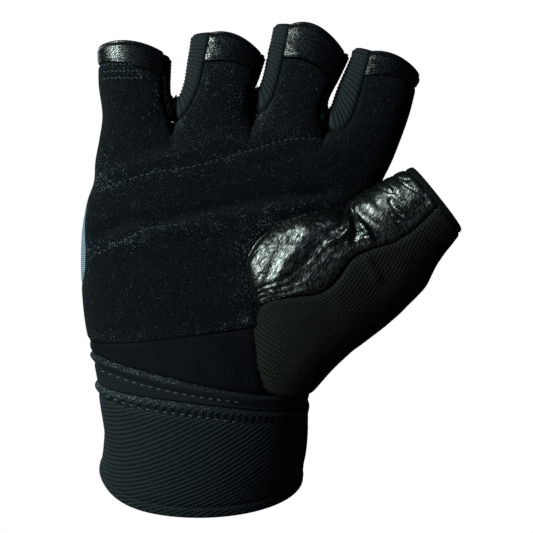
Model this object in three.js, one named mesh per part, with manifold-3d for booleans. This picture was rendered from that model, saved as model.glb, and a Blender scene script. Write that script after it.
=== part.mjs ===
// Weightlifting glove for the right hand, in the form that it has when worn.
// Millimetres, +Z towards the fingertips, the palm faces -Y, the thumb points to +X.
// The origin is the centre of the wrist opening.

import * as THREE from "three";
import { mergeVertices } from "three/addons/utils/BufferGeometryUtils.js";
import Module from "manifold-3d";

const wasm = await Module();
wasm.setup();

// The glove's sizes, before it is leaned into its pose. The tables below hold shares of them.
const LENGTH = 160;
const WIDTH = 110;
const DEPTH = 48;
const FINGER_DEPTH = 22;
const THUMB_DEPTH = 39;

// Walls and gaps
const SUEDE = 2.4;
const KNIT = 1.5;
const MESH_CLOTH = 1.6;
const LEATHER = 1.8;
const ELASTIC = 2.0;
const BINDING = 2.2;
const GAP = 0.35;
const SEAM_GAP_TURN = 2.3;
const SECTOR_GAP_TURN = 2.2;
const CUT_GAP = 0.6;
const SEAT_GAP = 0.8;
const SLIVER = 0.02;
const SAME_POINT = 1e-3;
const HEM_PROUD = 0.4;

// Multiplies a row's shares by the size that each column follows
const scaled = (row, sizes) => Object.fromEntries(
  Object.entries(row).map(([key, value]) => [key, key in sizes ? value * sizes[key] : value]),
);
const scaledRows = (rows, sizes) => rows.map((row) => scaled(row, sizes));
const LINE_SIZES = { left: LENGTH, middle: LENGTH, right: LENGTH };

// The hand leans: the wrist tips back below BEND_TOP, the fingers lean back above LEAN_FROM
const BEND_TOP = 0.5 * LENGTH;
const WRIST_TIP = THREE.MathUtils.degToRad(30);
const LEAN_FROM = 0.72 * LENGTH;
const LEAN_PER_MM = THREE.MathUtils.degToRad(38.4) / LENGTH;

// Outline of the hand and wrist: left and right edge, front and back depth at each height
const TRUNK = scaledRows([
  { z: -0.025, left: -0.345, right: 0.338, front: 0.5, back: 0.5 },
  { z: 0, left: -0.343, right: 0.34, front: 0.5, back: 0.5 },
  { z: 0.1, left: -0.32, right: 0.355, front: 0.49, back: 0.49 },
  { z: 0.188, left: -0.33, right: 0.362, front: 0.479, back: 0.479 },
  { z: 0.25, left: -0.342, right: 0.369, front: 0.458, back: 0.458 },
  { z: 0.306, left: -0.357, right: 0.373, front: 0.417, back: 0.406 },
  { z: 0.375, left: -0.375, right: 0.391, front: 0.375, back: 0.354 },
  { z: 0.438, left: -0.383, right: 0.427, front: 0.354, back: 0.333 },
  { z: 0.519, left: -0.386, right: 0.482, front: 0.333, back: 0.312 },
  { z: 0.588, left: -0.38, right: 0.536, front: 0.323, back: 0.302 },
  { z: 0.644, left: -0.364, right: 0.576, front: 0.312, back: 0.292 },
  { z: 0.681, left: -0.345, right: 0.597, front: 0.304, back: 0.285 },
  { z: 0.731, left: -0.339, right: 0.632, front: 0.292, back: 0.271 },
  { z: 0.781, left: -0.326, right: 0.661, front: 0.271, back: 0.254 },
  { z: 0.825, left: -0.317, right: 0.684, front: 0.25, back: 0.24 },
  { z: 0.906, left: -0.33, right: 0.715, front: 0.24, back: 0.229 },
  { z: 0.988, left: -0.33, right: 0.744, front: 0.229, back: 0.219 },
], { z: LENGTH, left: WIDTH, right: WIDTH, front: DEPTH, back: DEPTH });
const SIDE_CROWDING = 1.4;
const SQUARENESS = 0.35;
const SQUARE_FROM = 0.28 * LENGTH;
const SQUARE_OVER = 0.19 * LENGTH;

// The fingers: edges at the low and the high line, with the depth there
const FINGER_LOW = 0.8 * LENGTH;
const FINGER_HIGH = 0.9875 * LENGTH;
const FINGERS = scaledRows([
  { name: "little", leftLow: -0.317, rightLow: -0.087, leftHigh: -0.33, rightHigh: -0.091, low: 0.477, high: 0.4 },
  { name: "ring", leftLow: -0.078, rightLow: 0.175, leftHigh: -0.027, rightHigh: 0.222, low: 0.509, high: 0.418 },
  { name: "middle", leftLow: 0.173, rightLow: 0.416, leftHigh: 0.233, rightHigh: 0.498, low: 0.518, high: 0.427 },
  { name: "index", leftLow: 0.422, rightLow: 0.671, leftHigh: 0.507, rightHigh: 0.744, low: 0.5, high: 0.418 },
], {
  leftLow: WIDTH,
  rightLow: WIDTH,
  leftHigh: WIDTH,
  rightHigh: WIDTH,
  low: FINGER_DEPTH,
  high: FINGER_DEPTH,
});
const DEPTH_REACH = { low: -0.3, high: 1.1 };
const BLEND_FROM = 0.7375 * LENGTH;
const BLEND_OVER = 0.1125 * LENGTH;
const VALLEY = 0.27 * FINGER_DEPTH;
const VALLEY_OVER = 0.364 * FINGER_DEPTH;
const FINGER_TURN = { from: 52, to: 152 };

// The gaps between the fingers, from the left finger's tip round the bottom to the right one's:
// the seam of the suede, and the crest of the knit strip between front and back seam
const SLIT_SIZES = { seamX: WIDTH, seamZ: LENGTH, crestX: WIDTH, crestZ: LENGTH };
const SLITS = [
  {
    name: "little_ring",
    rows: [
      { seamX: -0.115, seamZ: 0.966, crestX: -0.093, crestZ: 0.964 },
      { seamX: -0.113, seamZ: 0.891, crestX: -0.096, crestZ: 0.901 },
      { seamX: -0.108, seamZ: 0.85, crestX: -0.093, crestZ: 0.881 },
      { seamX: -0.089, seamZ: 0.821, crestX: -0.079, crestZ: 0.872 },
      { seamX: -0.049, seamZ: 0.834, crestX: -0.064, crestZ: 0.879 },
      { seamX: -0.019, seamZ: 0.864, crestX: -0.054, crestZ: 0.895 },
      { seamX: 0.002, seamZ: 0.9, crestX: -0.045, crestZ: 0.919 },
      { seamX: 0.019, seamZ: 0.95, crestX: -0.036, crestZ: 0.963 },
      { seamX: 0.037, seamZ: 1.006, crestX: -0.025, crestZ: 1.007 },
    ],
  },
  {
    name: "ring_middle",
    rows: [
      { seamX: 0.203, seamZ: 0.966, crestX: 0.218, crestZ: 0.968 },
      { seamX: 0.182, seamZ: 0.911, crestX: 0.195, crestZ: 0.92 },
      { seamX: 0.165, seamZ: 0.866, crestX: 0.18, crestZ: 0.899 },
      { seamX: 0.184, seamZ: 0.836, crestX: 0.189, crestZ: 0.894 },
      { seamX: 0.216, seamZ: 0.846, crestX: 0.198, crestZ: 0.899 },
      { seamX: 0.24, seamZ: 0.87, crestX: 0.206, crestZ: 0.912 },
      { seamX: 0.256, seamZ: 0.906, crestX: 0.215, crestZ: 0.934 },
      { seamX: 0.276, seamZ: 0.96, crestX: 0.228, crestZ: 0.979 },
      { seamX: 0.296, seamZ: 1.025, crestX: 0.247, crestZ: 1.031 },
    ],
  },
  {
    name: "middle_index",
    rows: [
      { seamX: 0.475, seamZ: 0.968, crestX: 0.494, crestZ: 0.97 },
      { seamX: 0.444, seamZ: 0.916, crestX: 0.462, crestZ: 0.924 },
      { seamX: 0.407, seamZ: 0.86, crestX: 0.427, crestZ: 0.878 },
      { seamX: 0.396, seamZ: 0.823, crestX: 0.421, crestZ: 0.856 },
      { seamX: 0.418, seamZ: 0.803, crestX: 0.426, crestZ: 0.85 },
      { seamX: 0.453, seamZ: 0.794, crestX: 0.435, crestZ: 0.857 },
      { seamX: 0.485, seamZ: 0.809, crestX: 0.444, crestZ: 0.875 },
      { seamX: 0.511, seamZ: 0.847, crestX: 0.457, crestZ: 0.9 },
      { seamX: 0.535, seamZ: 0.906, crestX: 0.479, crestZ: 0.934 },
      { seamX: 0.561, seamZ: 0.964, crestX: 0.508, crestZ: 0.978 },
    ],
  },
].map((slit) => ({ ...slit, rows: scaledRows(slit.rows, SLIT_SIZES) }));
const TIP_ARCH = [0.08, 0.1, 0.16, 0.08].map((share) => share * FINGER_DEPTH);
const OUTER_TIP = { littleZ: 0.984 * LENGTH, indexZ: 0.922 * LENGTH };
const CROWN_LEFT_Z = 0.831 * LENGTH;
const CROWN_RIGHT_Z = 0.819 * LENGTH;

// Where suede and back fabric meet at the outer sides: degrees round from the side to the front
const LEFT_SEAM = scaledRows([
  { z: 0.25, turn: -12 },
  { z: 0.438, turn: -10 },
  { z: 0.469, turn: 12 },
  { z: 0.525, turn: 21 },
  { z: 0.575, turn: 21 },
  { z: 0.637, turn: 15 },
  { z: 0.688, turn: -8 },
  { z: 0.75, turn: -12 },
  { z: 1.031, turn: -12 },
], { z: LENGTH });
const RIGHT_SEAM_TURN = -12;
const SEAM_DRIFT = 0.3;

// Lines across the hand, height at the left side, the middle and the right side
const SUEDE_LOW = scaled({ left: 0.328, middle: 0.359, right: 0.391 }, LINE_SIZES);
const KNUCKLE = scaled({ left: 0.688, middle: 0.731, right: 0.706 }, LINE_SIZES);
const ROLL_INNER = scaled({ left: 0.304, middle: 0.263, right: 0.219 }, LINE_SIZES);
const ROLL_OUTER = scaled({ left: 0.235, middle: 0.226, right: 0.185 }, LINE_SIZES);

// The thumb: each section runs from its upper to its lower edge, y is its middle, patch
// is the angle from the upper edge round the front where the leather ends
const THUMB = scaledRows([
  { at: 0, upperX: 0.118, upperZ: 0.255, lowerX: 0.375, lowerZ: 0.221, y: -0.026, front: 0.436, back: 0.385, patch: 2 },
  { at: 1, upperX: 0.139, upperZ: 0.419, lowerX: 0.476, lowerZ: 0.295, y: -0.051, front: 0.477, back: 0.372, patch: 45 },
  { at: 2, upperX: 0.115, upperZ: 0.519, lowerX: 0.618, lowerZ: 0.371, y: -0.103, front: 0.497, back: 0.385, patch: 92 },
  { at: 3, upperX: 0.26, upperZ: 0.606, lowerX: 0.722, lowerZ: 0.441, y: -0.179, front: 0.456, back: 0.385, patch: 93 },
  { at: 4, upperX: 0.447, upperZ: 0.628, lowerX: 0.771, lowerZ: 0.495, y: -0.282, front: 0.4, back: 0.359, patch: 98 },
  { at: 5, upperX: 0.536, upperZ: 0.662, lowerX: 0.8, lowerZ: 0.525, y: -0.359, front: 0.349, back: 0.333, patch: 100 },
  { at: 6, upperX: 0.611, upperZ: 0.69, lowerX: 0.824, lowerZ: 0.547, y: -0.423, front: 0.323, back: 0.323, patch: 98 },
  { at: 7, upperX: 0.685, upperZ: 0.715, lowerX: 0.847, lowerZ: 0.574, y: -0.474, front: 0.308, back: 0.308, patch: 97 },
], {
  upperX: WIDTH,
  lowerX: WIDTH,
  upperZ: LENGTH,
  lowerZ: LENGTH,
  y: THUMB_DEPTH,
  front: THUMB_DEPTH,
  back: THUMB_DEPTH,
});
const THUMB_END = 7;
const THUMB_POWER = 2.3;
const PATCH_TOP = -42;
const THUMB_CLOTH_END = 6.62;
const THUMB_PAST = 0.5;
const RIM_GAP = 0.1;
const RIM_ROUND = 0.05;
const JOINT_FOLD = { at: 4.0, width: 0.28, depth: 0.062 * THUMB_DEPTH, turn: 20, reach: 70 };

// The wrist wrap: how far the inner turn runs under the outer one, the rolled edges' size, how
// the bottom rises at the left, and the closure at the back in degrees from the left side
const WRAP_LAP = 0.056 * LENGTH;
const ROLL = 1.4;

const BOTTOM_RISE = 0.025 * LENGTH;
const HOLLOW = { low: 0.1625 * LENGTH, high: 0.8 * LENGTH, rows: 14 };
const TAB = { from: 236, to: 304, low: 0.05 * LENGTH, high: 0.18 * LENGTH, thickness: 1.8, rows: 4, columns: 8 };
const SEAM_TURN = 52;
const STRIP_INSET = 0.2;
const STRIP_HALF = 0.8;
const SLIT_INSET = 0.2;
const BORDER_STEP = 0.02;
const HEM_FROM = 0.77;
const HEM_GAP = 0.02;
const PAST_END = 0.025 * LENGTH;

// How finely the faces are divided
const FINGER_COLUMNS = 6;
const FINGER_ROWS = 6;
const BOTTOM_CROWDING = 1.4;
const PALM_ROWS = 12;
const BACK_ROWS = 6;
const CROWN_ROWS = 3;
const SLIT_ROWS = 7;
const SLIT_COLUMNS = 4;
const HEM_ROWS = 2;
const THUMB_ROWS = 16;
const THUMB_AROUND = 28;
const PATCH_COLUMNS = 10;
const THUMB_COLUMNS = 18;
const WRIST_COLUMNS = 34;

const COLOURS = {
  suede: 0x14161a,
  leather: 0x1b1e20,
  knit: 0x15171a,
  grey: 0x59636c,
  stretch: 0x111316,
  mesh: 0x1a1d1b,
  elastic: 0x17191c,
};

// Reads one column of a table at a place between its rows, as a smooth curve
function read(rows, key, at, column) {
  const last = rows.length - 1;
  let i = 0;
  while (i < last - 1 && at > rows[i + 1][key]) i += 1;
  const slope = (k) => (rows[k + 1][column] - rows[k][column]) / (rows[k + 1][key] - rows[k][key]);
  const tangent = (k) => {
    if (k === 0) return slope(0);
    if (k === last) return slope(last - 1);
    const before = rows[k][key] - rows[k - 1][key];
    const after = rows[k + 1][key] - rows[k][key];
    return (slope(k - 1) * after + slope(k) * before) / (before + after);
  };
  const span = rows[i + 1][key] - rows[i][key];
  const t = THREE.MathUtils.clamp((at - rows[i][key]) / span, 0, 1);
  const t2 = t * t;
  const t3 = t2 * t;
  return (2 * t3 - 3 * t2 + 1) * rows[i][column] + (t3 - 2 * t2 + t) * span * tangent(i)
    + (3 * t2 - 2 * t3) * rows[i + 1][column] + (t3 - t2) * span * tangent(i + 1);
}

const mix = THREE.MathUtils.lerp;
const smooth = (x) => THREE.MathUtils.smoothstep(x, 0, 1);
const radians = THREE.MathUtils.degToRad;

// A line across the hand as a parabola through its three heights; across runs from -1 to 1
function lineAt(line, across) {
  const bow = (line.left + line.right) / 2 - line.middle;
  return line.middle + ((line.right - line.left) / 2) * across + bow * across * across;
}

// Leans a point of the straight glove into the worn pose
function lean(p) {
  const wrist = WRIST_TIP * Math.max(0, 1 - p.z / BEND_TOP);
  const fingers = Math.max(0, p.z - LEAN_FROM) * LEAN_PER_MM;
  const angle = wrist - fingers;
  const shift = -(BEND_TOP / WRIST_TIP) * (Math.log(Math.cos(wrist)) - Math.log(Math.cos(WRIST_TIP)))
    - Math.log(Math.cos(fingers)) / LEAN_PER_MM;
  return new THREE.Vector3(p.x, shift + p.y * Math.cos(angle), p.z + p.y * Math.sin(angle));
}

function trunkAt(z) {
  return {
    left: read(TRUNK, "z", z, "left"),
    right: read(TRUNK, "z", z, "right"),
    front: read(TRUNK, "z", z, "front"),
    back: read(TRUNK, "z", z, "back"),
    power: 2 + SQUARENESS * smooth((z - SQUARE_FROM) / SQUARE_OVER),
  };
}

// Left and right edge of a finger at a height; the outer fingers share the hand's edge
function fingerEdges(index, z) {
  const finger = FINGERS[index];
  const t = (z - FINGER_LOW) / (FINGER_HIGH - FINGER_LOW);
  const trunk = trunkAt(z);
  return {
    left: index === 0 ? trunk.left : mix(finger.leftLow, finger.leftHigh, t),
    right: index === 3 ? trunk.right : mix(finger.rightLow, finger.rightHigh, t),
    depth: mix(finger.low, finger.high, THREE.MathUtils.clamp(t, DEPTH_REACH.low, DEPTH_REACH.high)),
  };
}

function ovalHeight(across, depth, power) {
  const inside = 1 - Math.min(1, Math.abs(across)) ** power;
  return depth * Math.max(0, inside) ** (1 / power);
}

// Depth of the glove's outer face from its middle plane, at a place seen from the front
function faceHeight(x, z, front) {
  const trunk = trunkAt(z);
  const across = (2 * x - trunk.left - trunk.right) / (trunk.right - trunk.left);
  const palm = ovalHeight(across, front ? trunk.front : trunk.back, trunk.power);
  let fingers = 0;
  for (let i = 0; i < FINGERS.length; i += 1) {
    const edge = fingerEdges(i, z);
    const height = ovalHeight((2 * x - edge.left - edge.right) / (edge.right - edge.left), edge.depth, 2);
    const round = VALLEY * smooth(Math.min(fingers, height) / VALLEY_OVER);
    fingers = (fingers + height + Math.hypot(fingers - height, round)) / 2;
  }
  return mix(palm, fingers, smooth((z - BLEND_FROM) / BLEND_OVER));
}

// Grids whose rows close on themselves, stacked from the outer face over the rim to the inner
function ring(loops) {
  const columns = loops[0].length;
  const faces = [];
  for (let r = 0; r < loops.length; r += 1) {
    const next = (r + 1) % loops.length;
    for (let c = 0; c < columns; c += 1) {
      const a = r * columns + c;
      const b = r * columns + ((c + 1) % columns);
      const d = next * columns + c;
      const e = next * columns + ((c + 1) % columns);
      faces.push(a, b, e, a, e, d);
    }
  }
  return toGeometry(loops.flat(), faces);
}

// A solid through closed sections, capped at both ends
function plug(sections) {
  const columns = sections[0].length;
  const faces = [];
  for (let r = 0; r < sections.length - 1; r += 1) {
    for (let c = 0; c < columns; c += 1) {
      const a = r * columns + c;
      const b = r * columns + ((c + 1) % columns);
      faces.push(a, b, b + columns, a, b + columns, a + columns);
    }
  }
  const points = sections.flat();
  const cap = (from, flip) => {
    const middle = new THREE.Vector3();
    for (let c = 0; c < columns; c += 1) middle.add(points[from + c]);
    points.push(middle.divideScalar(columns));
    const hub = points.length - 1;
    for (let c = 0; c < columns; c += 1) {
      const a = from + c;
      const b = from + ((c + 1) % columns);
      faces.push(hub, flip ? b : a, flip ? a : b);
    }
  };
  cap(0, true);
  cap((sections.length - 1) * columns, false);
  return toGeometry(points, faces);
}

// Makes the geometry, and turns its faces outwards if its volume comes out negative
function toGeometry(points, faces) {
  let volume = 0;
  for (let i = 0; i < faces.length; i += 3) {
    const [a, b, c] = [points[faces[i]], points[faces[i + 1]], points[faces[i + 2]]];
    volume += a.dot(b.clone().cross(c));
  }
  const geometry = new THREE.BufferGeometry();
  geometry.setAttribute("position", new THREE.Float32BufferAttribute(points.flatMap((p) => p.toArray()), 3));
  geometry.setIndex(volume < 0 ? faces.toReversed() : faces);
  return geometry;
}

// Faces of a grid, its quads cut along their shorter diagonal
function gridFaces(grid, points, first) {
  const columns = grid[0].length;
  const faces = [];
  for (let r = 0; r < grid.length - 1; r += 1) {
    for (let c = 0; c < columns - 1; c += 1) {
      const k = first + r * columns + c;
      const [a, b, d, e] = [k, k + 1, k + columns + 1, k + columns];
      if (points[a].distanceTo(points[d]) < points[b].distanceTo(points[e])) faces.push(a, b, d, a, d, e);
      else faces.push(a, b, e, b, d, e);
    }
  }
  return faces;
}

// A closed wall between a face and its partner, joined along the face's open edges
function closedWall(index, face, partner) {
  const count = face.length;
  const used = new Set();
  for (let i = 0; i < index.length; i += 3) {
    for (let e = 0; e < 3; e += 1) used.add(`${index[i + e]} ${index[i + ((e + 1) % 3)]}`);
  }
  const all = [];
  for (let i = 0; i < index.length; i += 3) {
    const [a, b, c] = [index[i], index[i + 1], index[i + 2]];
    all.push(a, b, c, a + count, c + count, b + count);
    for (const [from, to] of [[a, b], [b, c], [c, a]]) {
      if (!used.has(`${to} ${from}`)) all.push(from, from + count, to + count, from, to + count, to);
    }
  }
  return toGeometry([...face, ...partner], all);
}

// Thickens patches of the outer face, which are grids that meet at equal points, into one
// closed sheet. Outward is 1 where a patch's columns, then rows, turn anticlockwise seen from
// outside, else -1.
function thicken(patches, thickness, outward, proud = 0) {
  const points = [];
  const faces = [];
  for (const grid of patches) {
    const first = points.length;
    points.push(...grid.flat());
    faces.push(...gridFaces(grid, points, first));
  }
  const geometry = new THREE.BufferGeometry();
  geometry.setAttribute("position", new THREE.Float32BufferAttribute(points.flatMap((p) => p.toArray()), 3));
  geometry.setIndex(faces);
  const outer = mergeVertices(geometry, SAME_POINT);
  outer.computeVertexNormals();
  const { position, normal } = outer.attributes;
  const count = position.count;
  const moved = (by) => Array.from({ length: count }, (_, i) => new THREE.Vector3()
    .fromBufferAttribute(position, i)
    .addScaledVector(new THREE.Vector3().fromBufferAttribute(normal, i), by * outward));
  return closedWall(outer.index.array, moved(proud), moved(-thickness));
}

const toSolid = (geometry) => new wasm.Manifold(new wasm.Mesh({
  numProp: 3,
  vertProperties: new Float32Array(geometry.attributes.position.array),
  triVerts: new Uint32Array(geometry.index.array),
}));

// Keeps the biggest body of a cut solid, so that no crumb is left beside it, without its slivers
function toMesh(solid) {
  const bodies = solid.simplify(SLIVER).decompose();
  const biggest = bodies.reduce((a, b) => (b.volume() > a.volume() ? b : a));
  const mesh = biggest.getMesh();
  const geometry = new THREE.BufferGeometry();
  geometry.setAttribute("position", new THREE.BufferAttribute(mesh.vertProperties, 3));
  geometry.setIndex(new THREE.BufferAttribute(mesh.triVerts, 1));
  return geometry;
}

// One branch of a slit as a smooth curve: share 0 is the bottom, 1 is the tip
function slitPoint(slit, share, right, kind = "seam") {
  const rows = SLITS[slit].rows;
  const bottom = rows.reduce((best, row, i) => (row.seamZ < rows[best].seamZ ? i : best), 0);
  const at = right ? mix(bottom, rows.length - 1, share) : mix(bottom, 0, share);
  const table = rows.map((row, i) => ({ ...row, at: i }));
  return { x: read(table, "at", at, `${kind}X`), z: read(table, "at", at, `${kind}Z`) };
}

// Left or right border of a finger's front or back at a share of its length above the slits
function fingerBorder(index, share, right, inset) {
  if (index === 0 && !right) {
    const z = mix(CROWN_LEFT_Z, OUTER_TIP.littleZ, share);
    return { x: trunkAt(z).left, z };
  }
  if (index === 3 && right) {
    const z = mix(CROWN_RIGHT_Z, OUTER_TIP.indexZ, share);
    return { x: trunkAt(z).right, z };
  }
  const slit = right ? index : index - 1;
  const point = slitPoint(slit, share, !right);
  const ahead = slitPoint(slit, Math.min(1, share + BORDER_STEP), !right);
  const before = share - BORDER_STEP;
  const behind = slitPoint(slit, Math.abs(before), before > 0 ? !right : right);
  const length = Math.hypot(ahead.x - behind.x, ahead.z - behind.z);
  const side = (right ? -inset : inset) / length;
  return { x: point.x + side * (ahead.z - behind.z), z: point.z - side * (ahead.x - behind.x) };
}

// Angles round a finger from its left to its right border; the outer borders turn past the side
function fingerTurns(index, outerTurn) {
  return {
    from: index === 0 ? outerTurn : FINGER_TURN.from,
    to: index === 3 ? 180 - outerTurn : FINGER_TURN.to,
  };
}

// Place on a finger: s from its left to its right border, share of its length
function fingerPlace(index, s, share, outerTurn, inset) {
  const left = fingerBorder(index, share, false, inset);
  const right = fingerBorder(index, share, true, inset);
  const turns = fingerTurns(index, outerTurn);
  const dense = index === 0 ? s ** SIDE_CROWDING : 1 - (1 - s) ** (index === 3 ? SIDE_CROWDING : 1);
  const turn = radians(mix(turns.from, turns.to, dense));
  const start = index === 0 ? 1 : Math.cos(radians(turns.from));
  const end = index === 3 ? -1 : Math.cos(radians(turns.to));
  const part = (start - Math.cos(turn)) / (start - end);
  const arch = TIP_ARCH[index] * 4 * part * (1 - part) * share ** 3;
  return { x: mix(left.x, right.x, part), z: mix(left.z, right.z, part) + arch, flip: Math.sin(turn) < 0 };
}

const columnsOf = (count) => Array.from({ length: 4 * count + 1 }, (_, c) => ({
  finger: Math.min(3, Math.floor(c / count)),
  s: (c - Math.min(3, Math.floor(c / count)) * count) / count,
  all: c / (4 * count),
}));

// Relief of the palm: pads and creases as bumps along lines, height in mm at a place
const PALM_LINES = scaledRows([
  { left: 0.7, middle: 0.794, right: 0.812, width: 0.02, height: 0.542 },
  { left: 0.575, middle: 0.625, right: 0.662, width: 0.016, height: -0.667 },
  { left: 0.537, middle: 0.591, right: 0.644, width: 0.031, height: 0.417 },
], { ...LINE_SIZES, width: LENGTH, height: SUEDE });
const RELIEF_FADE = 0.18;

function relief(x, z) {
  const trunk = trunkAt(z);
  const across = (2 * x - trunk.left - trunk.right) / (trunk.right - trunk.left);
  const fade = smooth((1 - Math.abs(across)) / RELIEF_FADE);
  let height = 0;
  for (const line of PALM_LINES) {
    const away = (z - lineAt(line, across)) / line.width;
    height += line.height * Math.exp(-away * away) * fade;
  }
  return height;
}

// Point on the outer face of the palm or the back in the worn pose
function facePoint(place, front) {
  const frontward = place.flip ? !front : front;
  const height = faceHeight(place.x, place.z, frontward) + (front && !place.flip ? relief(place.x, place.z) : 0);
  return lean({ x: place.x, y: frontward ? -height : height, z: place.z });
}

// Rows of places across the hand, from a low line up to the crown under the finger slits,
// then up each finger. A front face has its side borders at the seam turns, a back face
// at their negatives, and both keep a gap to each other there.
function trunkPlaces(columns, low, high, share, front, reachSlits, inset) {
  const sign = front ? 1 : -1;
  return columns.map(({ finger, s, all }) => {
    const side = sign * RIGHT_SEAM_TURN + SEAM_GAP_TURN;
    const plain = -Math.cos(radians(mix(side, 180 - side, all)));
    const start = lineAt(low, plain);
    const outer = sign * read(LEFT_SEAM, "z", CROWN_LEFT_Z, "turn") + SEAM_GAP_TURN;
    const crown = fingerPlace(finger, s, 0, outer, inset);
    if (reachSlits && share === 1) return crown;
    const end = reachSlits ? crown.z : lineAt(high, plain);
    const z = mix(start, end, share);
    const left = sign * read(LEFT_SEAM, "z", z, "turn") + SEAM_GAP_TURN;
    const drift = (left - side) * (1 - smooth(all / SEAM_DRIFT));
    const even = mix(side, 180 - side, all) + drift;
    let turn = even;
    if (reachSlits) {
      const trunk = trunkAt(crown.z);
      const across = (2 * crown.x - trunk.left - trunk.right) / (trunk.right - trunk.left);
      const bare = THREE.MathUtils.radToDeg(Math.acos(THREE.MathUtils.clamp(-across, -1, 1)));
      const fitted = crown.flip ? (all < 0.5 ? -bare : 360 - bare) : bare;
      turn = mix(even, fitted + drift, smooth(share));
    }
    const trunk = trunkAt(z);
    const x = (trunk.left + trunk.right) / 2 - ((trunk.right - trunk.left) / 2) * Math.cos(radians(turn));
    return { x, z, flip: Math.sin(radians(turn)) < 0 };
  });
}
const steps = (count) => Array.from({ length: count + 1 }, (_, i) => i / count);

// Point on the thumb's outer face: at runs from the wrist to the tip, turn is in degrees from
// the upper edge round the front, off is how far outside the face the point lies
function thumbPoint(at, turn, off = 0) {
  const row = (column) => read(THUMB, "at", THREE.MathUtils.clamp(at, 0, THUMB_END), column);
  const past = at < 0 ? at : Math.max(0, at - THUMB_END);
  const upper = new THREE.Vector2(row("upperX"), row("upperZ"));
  const lower = new THREE.Vector2(row("lowerX"), row("lowerZ"));
  const half = lower.clone().sub(upper).multiplyScalar(0.5);
  const away = (at - JOINT_FOLD.at) / JOINT_FOLD.width;
  const side = (turn - JOINT_FOLD.turn) / JOINT_FOLD.reach;
  const out = off - JOINT_FOLD.depth * Math.exp(-away * away - side * side);
  const middle = upper.clone().add(lower).multiplyScalar(0.5);
  middle.addScaledVector(new THREE.Vector2(-half.y, half.x).normalize(), past * PAST_END);
  half.setLength(half.length() + out);
  const cos = Math.cos(radians(turn));
  const sin = Math.sin(radians(turn));
  const depth = row(sin > 0 ? "front" : "back") + out;
  const full = (v) => Math.sign(v) * Math.abs(v) ** (2 / THUMB_POWER);
  return lean({ x: middle.x - half.x * full(cos), y: row("y") - depth * full(sin), z: middle.y - half.y * full(cos) });
}

// Point on an oval band round the wrist, turn in degrees from the left side round the front
function wristPoint(turn, z, off) {
  const trunk = trunkAt(z);
  const cos = Math.cos(radians(turn));
  const sin = Math.sin(radians(turn));
  const bend = (v) => Math.sign(v) * Math.abs(v) ** (2 / trunk.power);
  const x = (trunk.left + trunk.right) / 2 - ((trunk.right - trunk.left) / 2 + off) * bend(cos);
  const depth = (sin > 0 ? trunk.front : trunk.back) + off;
  return lean({ x, y: -depth * bend(sin), z });
}

// A band round the wrist from its profile: off is measured outwards from the glove's face, part
// is the share of the way from the low to the high line, up and down are counted in rolls
function wristBand(low, high, profile) {
  const turns = steps(WRIST_COLUMNS).slice(0, -1).map((s) => 360 * s);
  return ring(profile.map(({ off, up = 0, down = 0, part }) => turns.map((turn) => {
    const across = -Math.cos(radians(turn));
    const z = mix(low(across), high(across), part) + (up - down) * ROLL;
    return wristPoint(turn, z, off);
  })));
}

// One side of the hand as patches: the part below the slits, then each finger up to a share
function handPatches(front, low, high, trunkRows, tipShares, inset = SLIT_INSET) {
  const columns = columnsOf(FINGER_COLUMNS);
  const grid = (places) => places.map((row) => row.map((place) => facePoint(place, front)));
  const reachSlits = tipShares.length > 0;
  const trunk = steps(trunkRows).map((t) => trunkPlaces(columns, low, high, t, front, reachSlits, inset));
  const outer = (front ? 1 : -1) * read(LEFT_SEAM, "z", CROWN_LEFT_Z, "turn") + SEAM_GAP_TURN;
  const fingers = reachSlits ? FINGERS : [];
  return [grid(trunk), ...fingers.map((_, i) => grid(tipShares.map((share) => steps(FINGER_COLUMNS)
    .map((s) => fingerPlace(i, s, share, outer, inset)))))];
}

// One face of the knit strip round a slit, seated under the edges of suede and back: rows along
// the slit, columns from the front to the back, moved away from the slit by its depth
function slitPatch(slit, depth) {
  const branch = (right) => steps(SLIT_ROWS).map((t) => ({ share: t ** BOTTOM_CROWDING, right }));
  const places = [...branch(false).reverse(), ...branch(true).slice(1)];
  return places.map(({ share, right }) => steps(SLIT_COLUMNS).map((s) => {
    const seam = slitPoint(slit, share, right);
    const crest = slitPoint(slit, share, right, "crest");
    const turn = radians(mix(-SEAM_TURN, SEAM_TURN, s));
    const arc = (Math.cos(turn) - Math.cos(radians(SEAM_TURN))) / (1 - Math.cos(radians(SEAM_TURN)));
    const rise = mix(STRIP_INSET, 1, arc);
    const front = Math.max(STRIP_HALF, faceHeight(seam.x, seam.z, true) - SUEDE - SEAT_GAP);
    const back = Math.max(STRIP_HALF, faceHeight(seam.x, seam.z, false) - KNIT - SEAT_GAP);
    const part = (1 + Math.sin(turn) / Math.sin(radians(SEAM_TURN))) / 2;
    const away = depth / Math.hypot(seam.x - crest.x, seam.z - crest.z);
    return lean({
      x: mix(seam.x, crest.x, rise - away),
      y: mix(-front, back, part),
      z: mix(seam.z, crest.z, rise - away),
    });
  }));
}

// The leather band over one fingertip's front
function hemPatch(index) {
  const outer = read(LEFT_SEAM, "z", CROWN_LEFT_Z, "turn") + SEAM_GAP_TURN;
  return steps(HEM_ROWS).map((t) => steps(FINGER_COLUMNS).map((s) => facePoint(
    fingerPlace(index, s, mix(HEM_FROM + HEM_GAP, 1, t), outer, SLIT_INSET),
    true,
  )));
}

function thumbSector(from, to, columns) {
  return steps(THUMB_ROWS).map((t) => {
    const at = t * THUMB_CLOTH_END;
    return steps(columns).map((s) => thumbPoint(at, mix(from(at), to(at), s)));
  });
}

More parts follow.
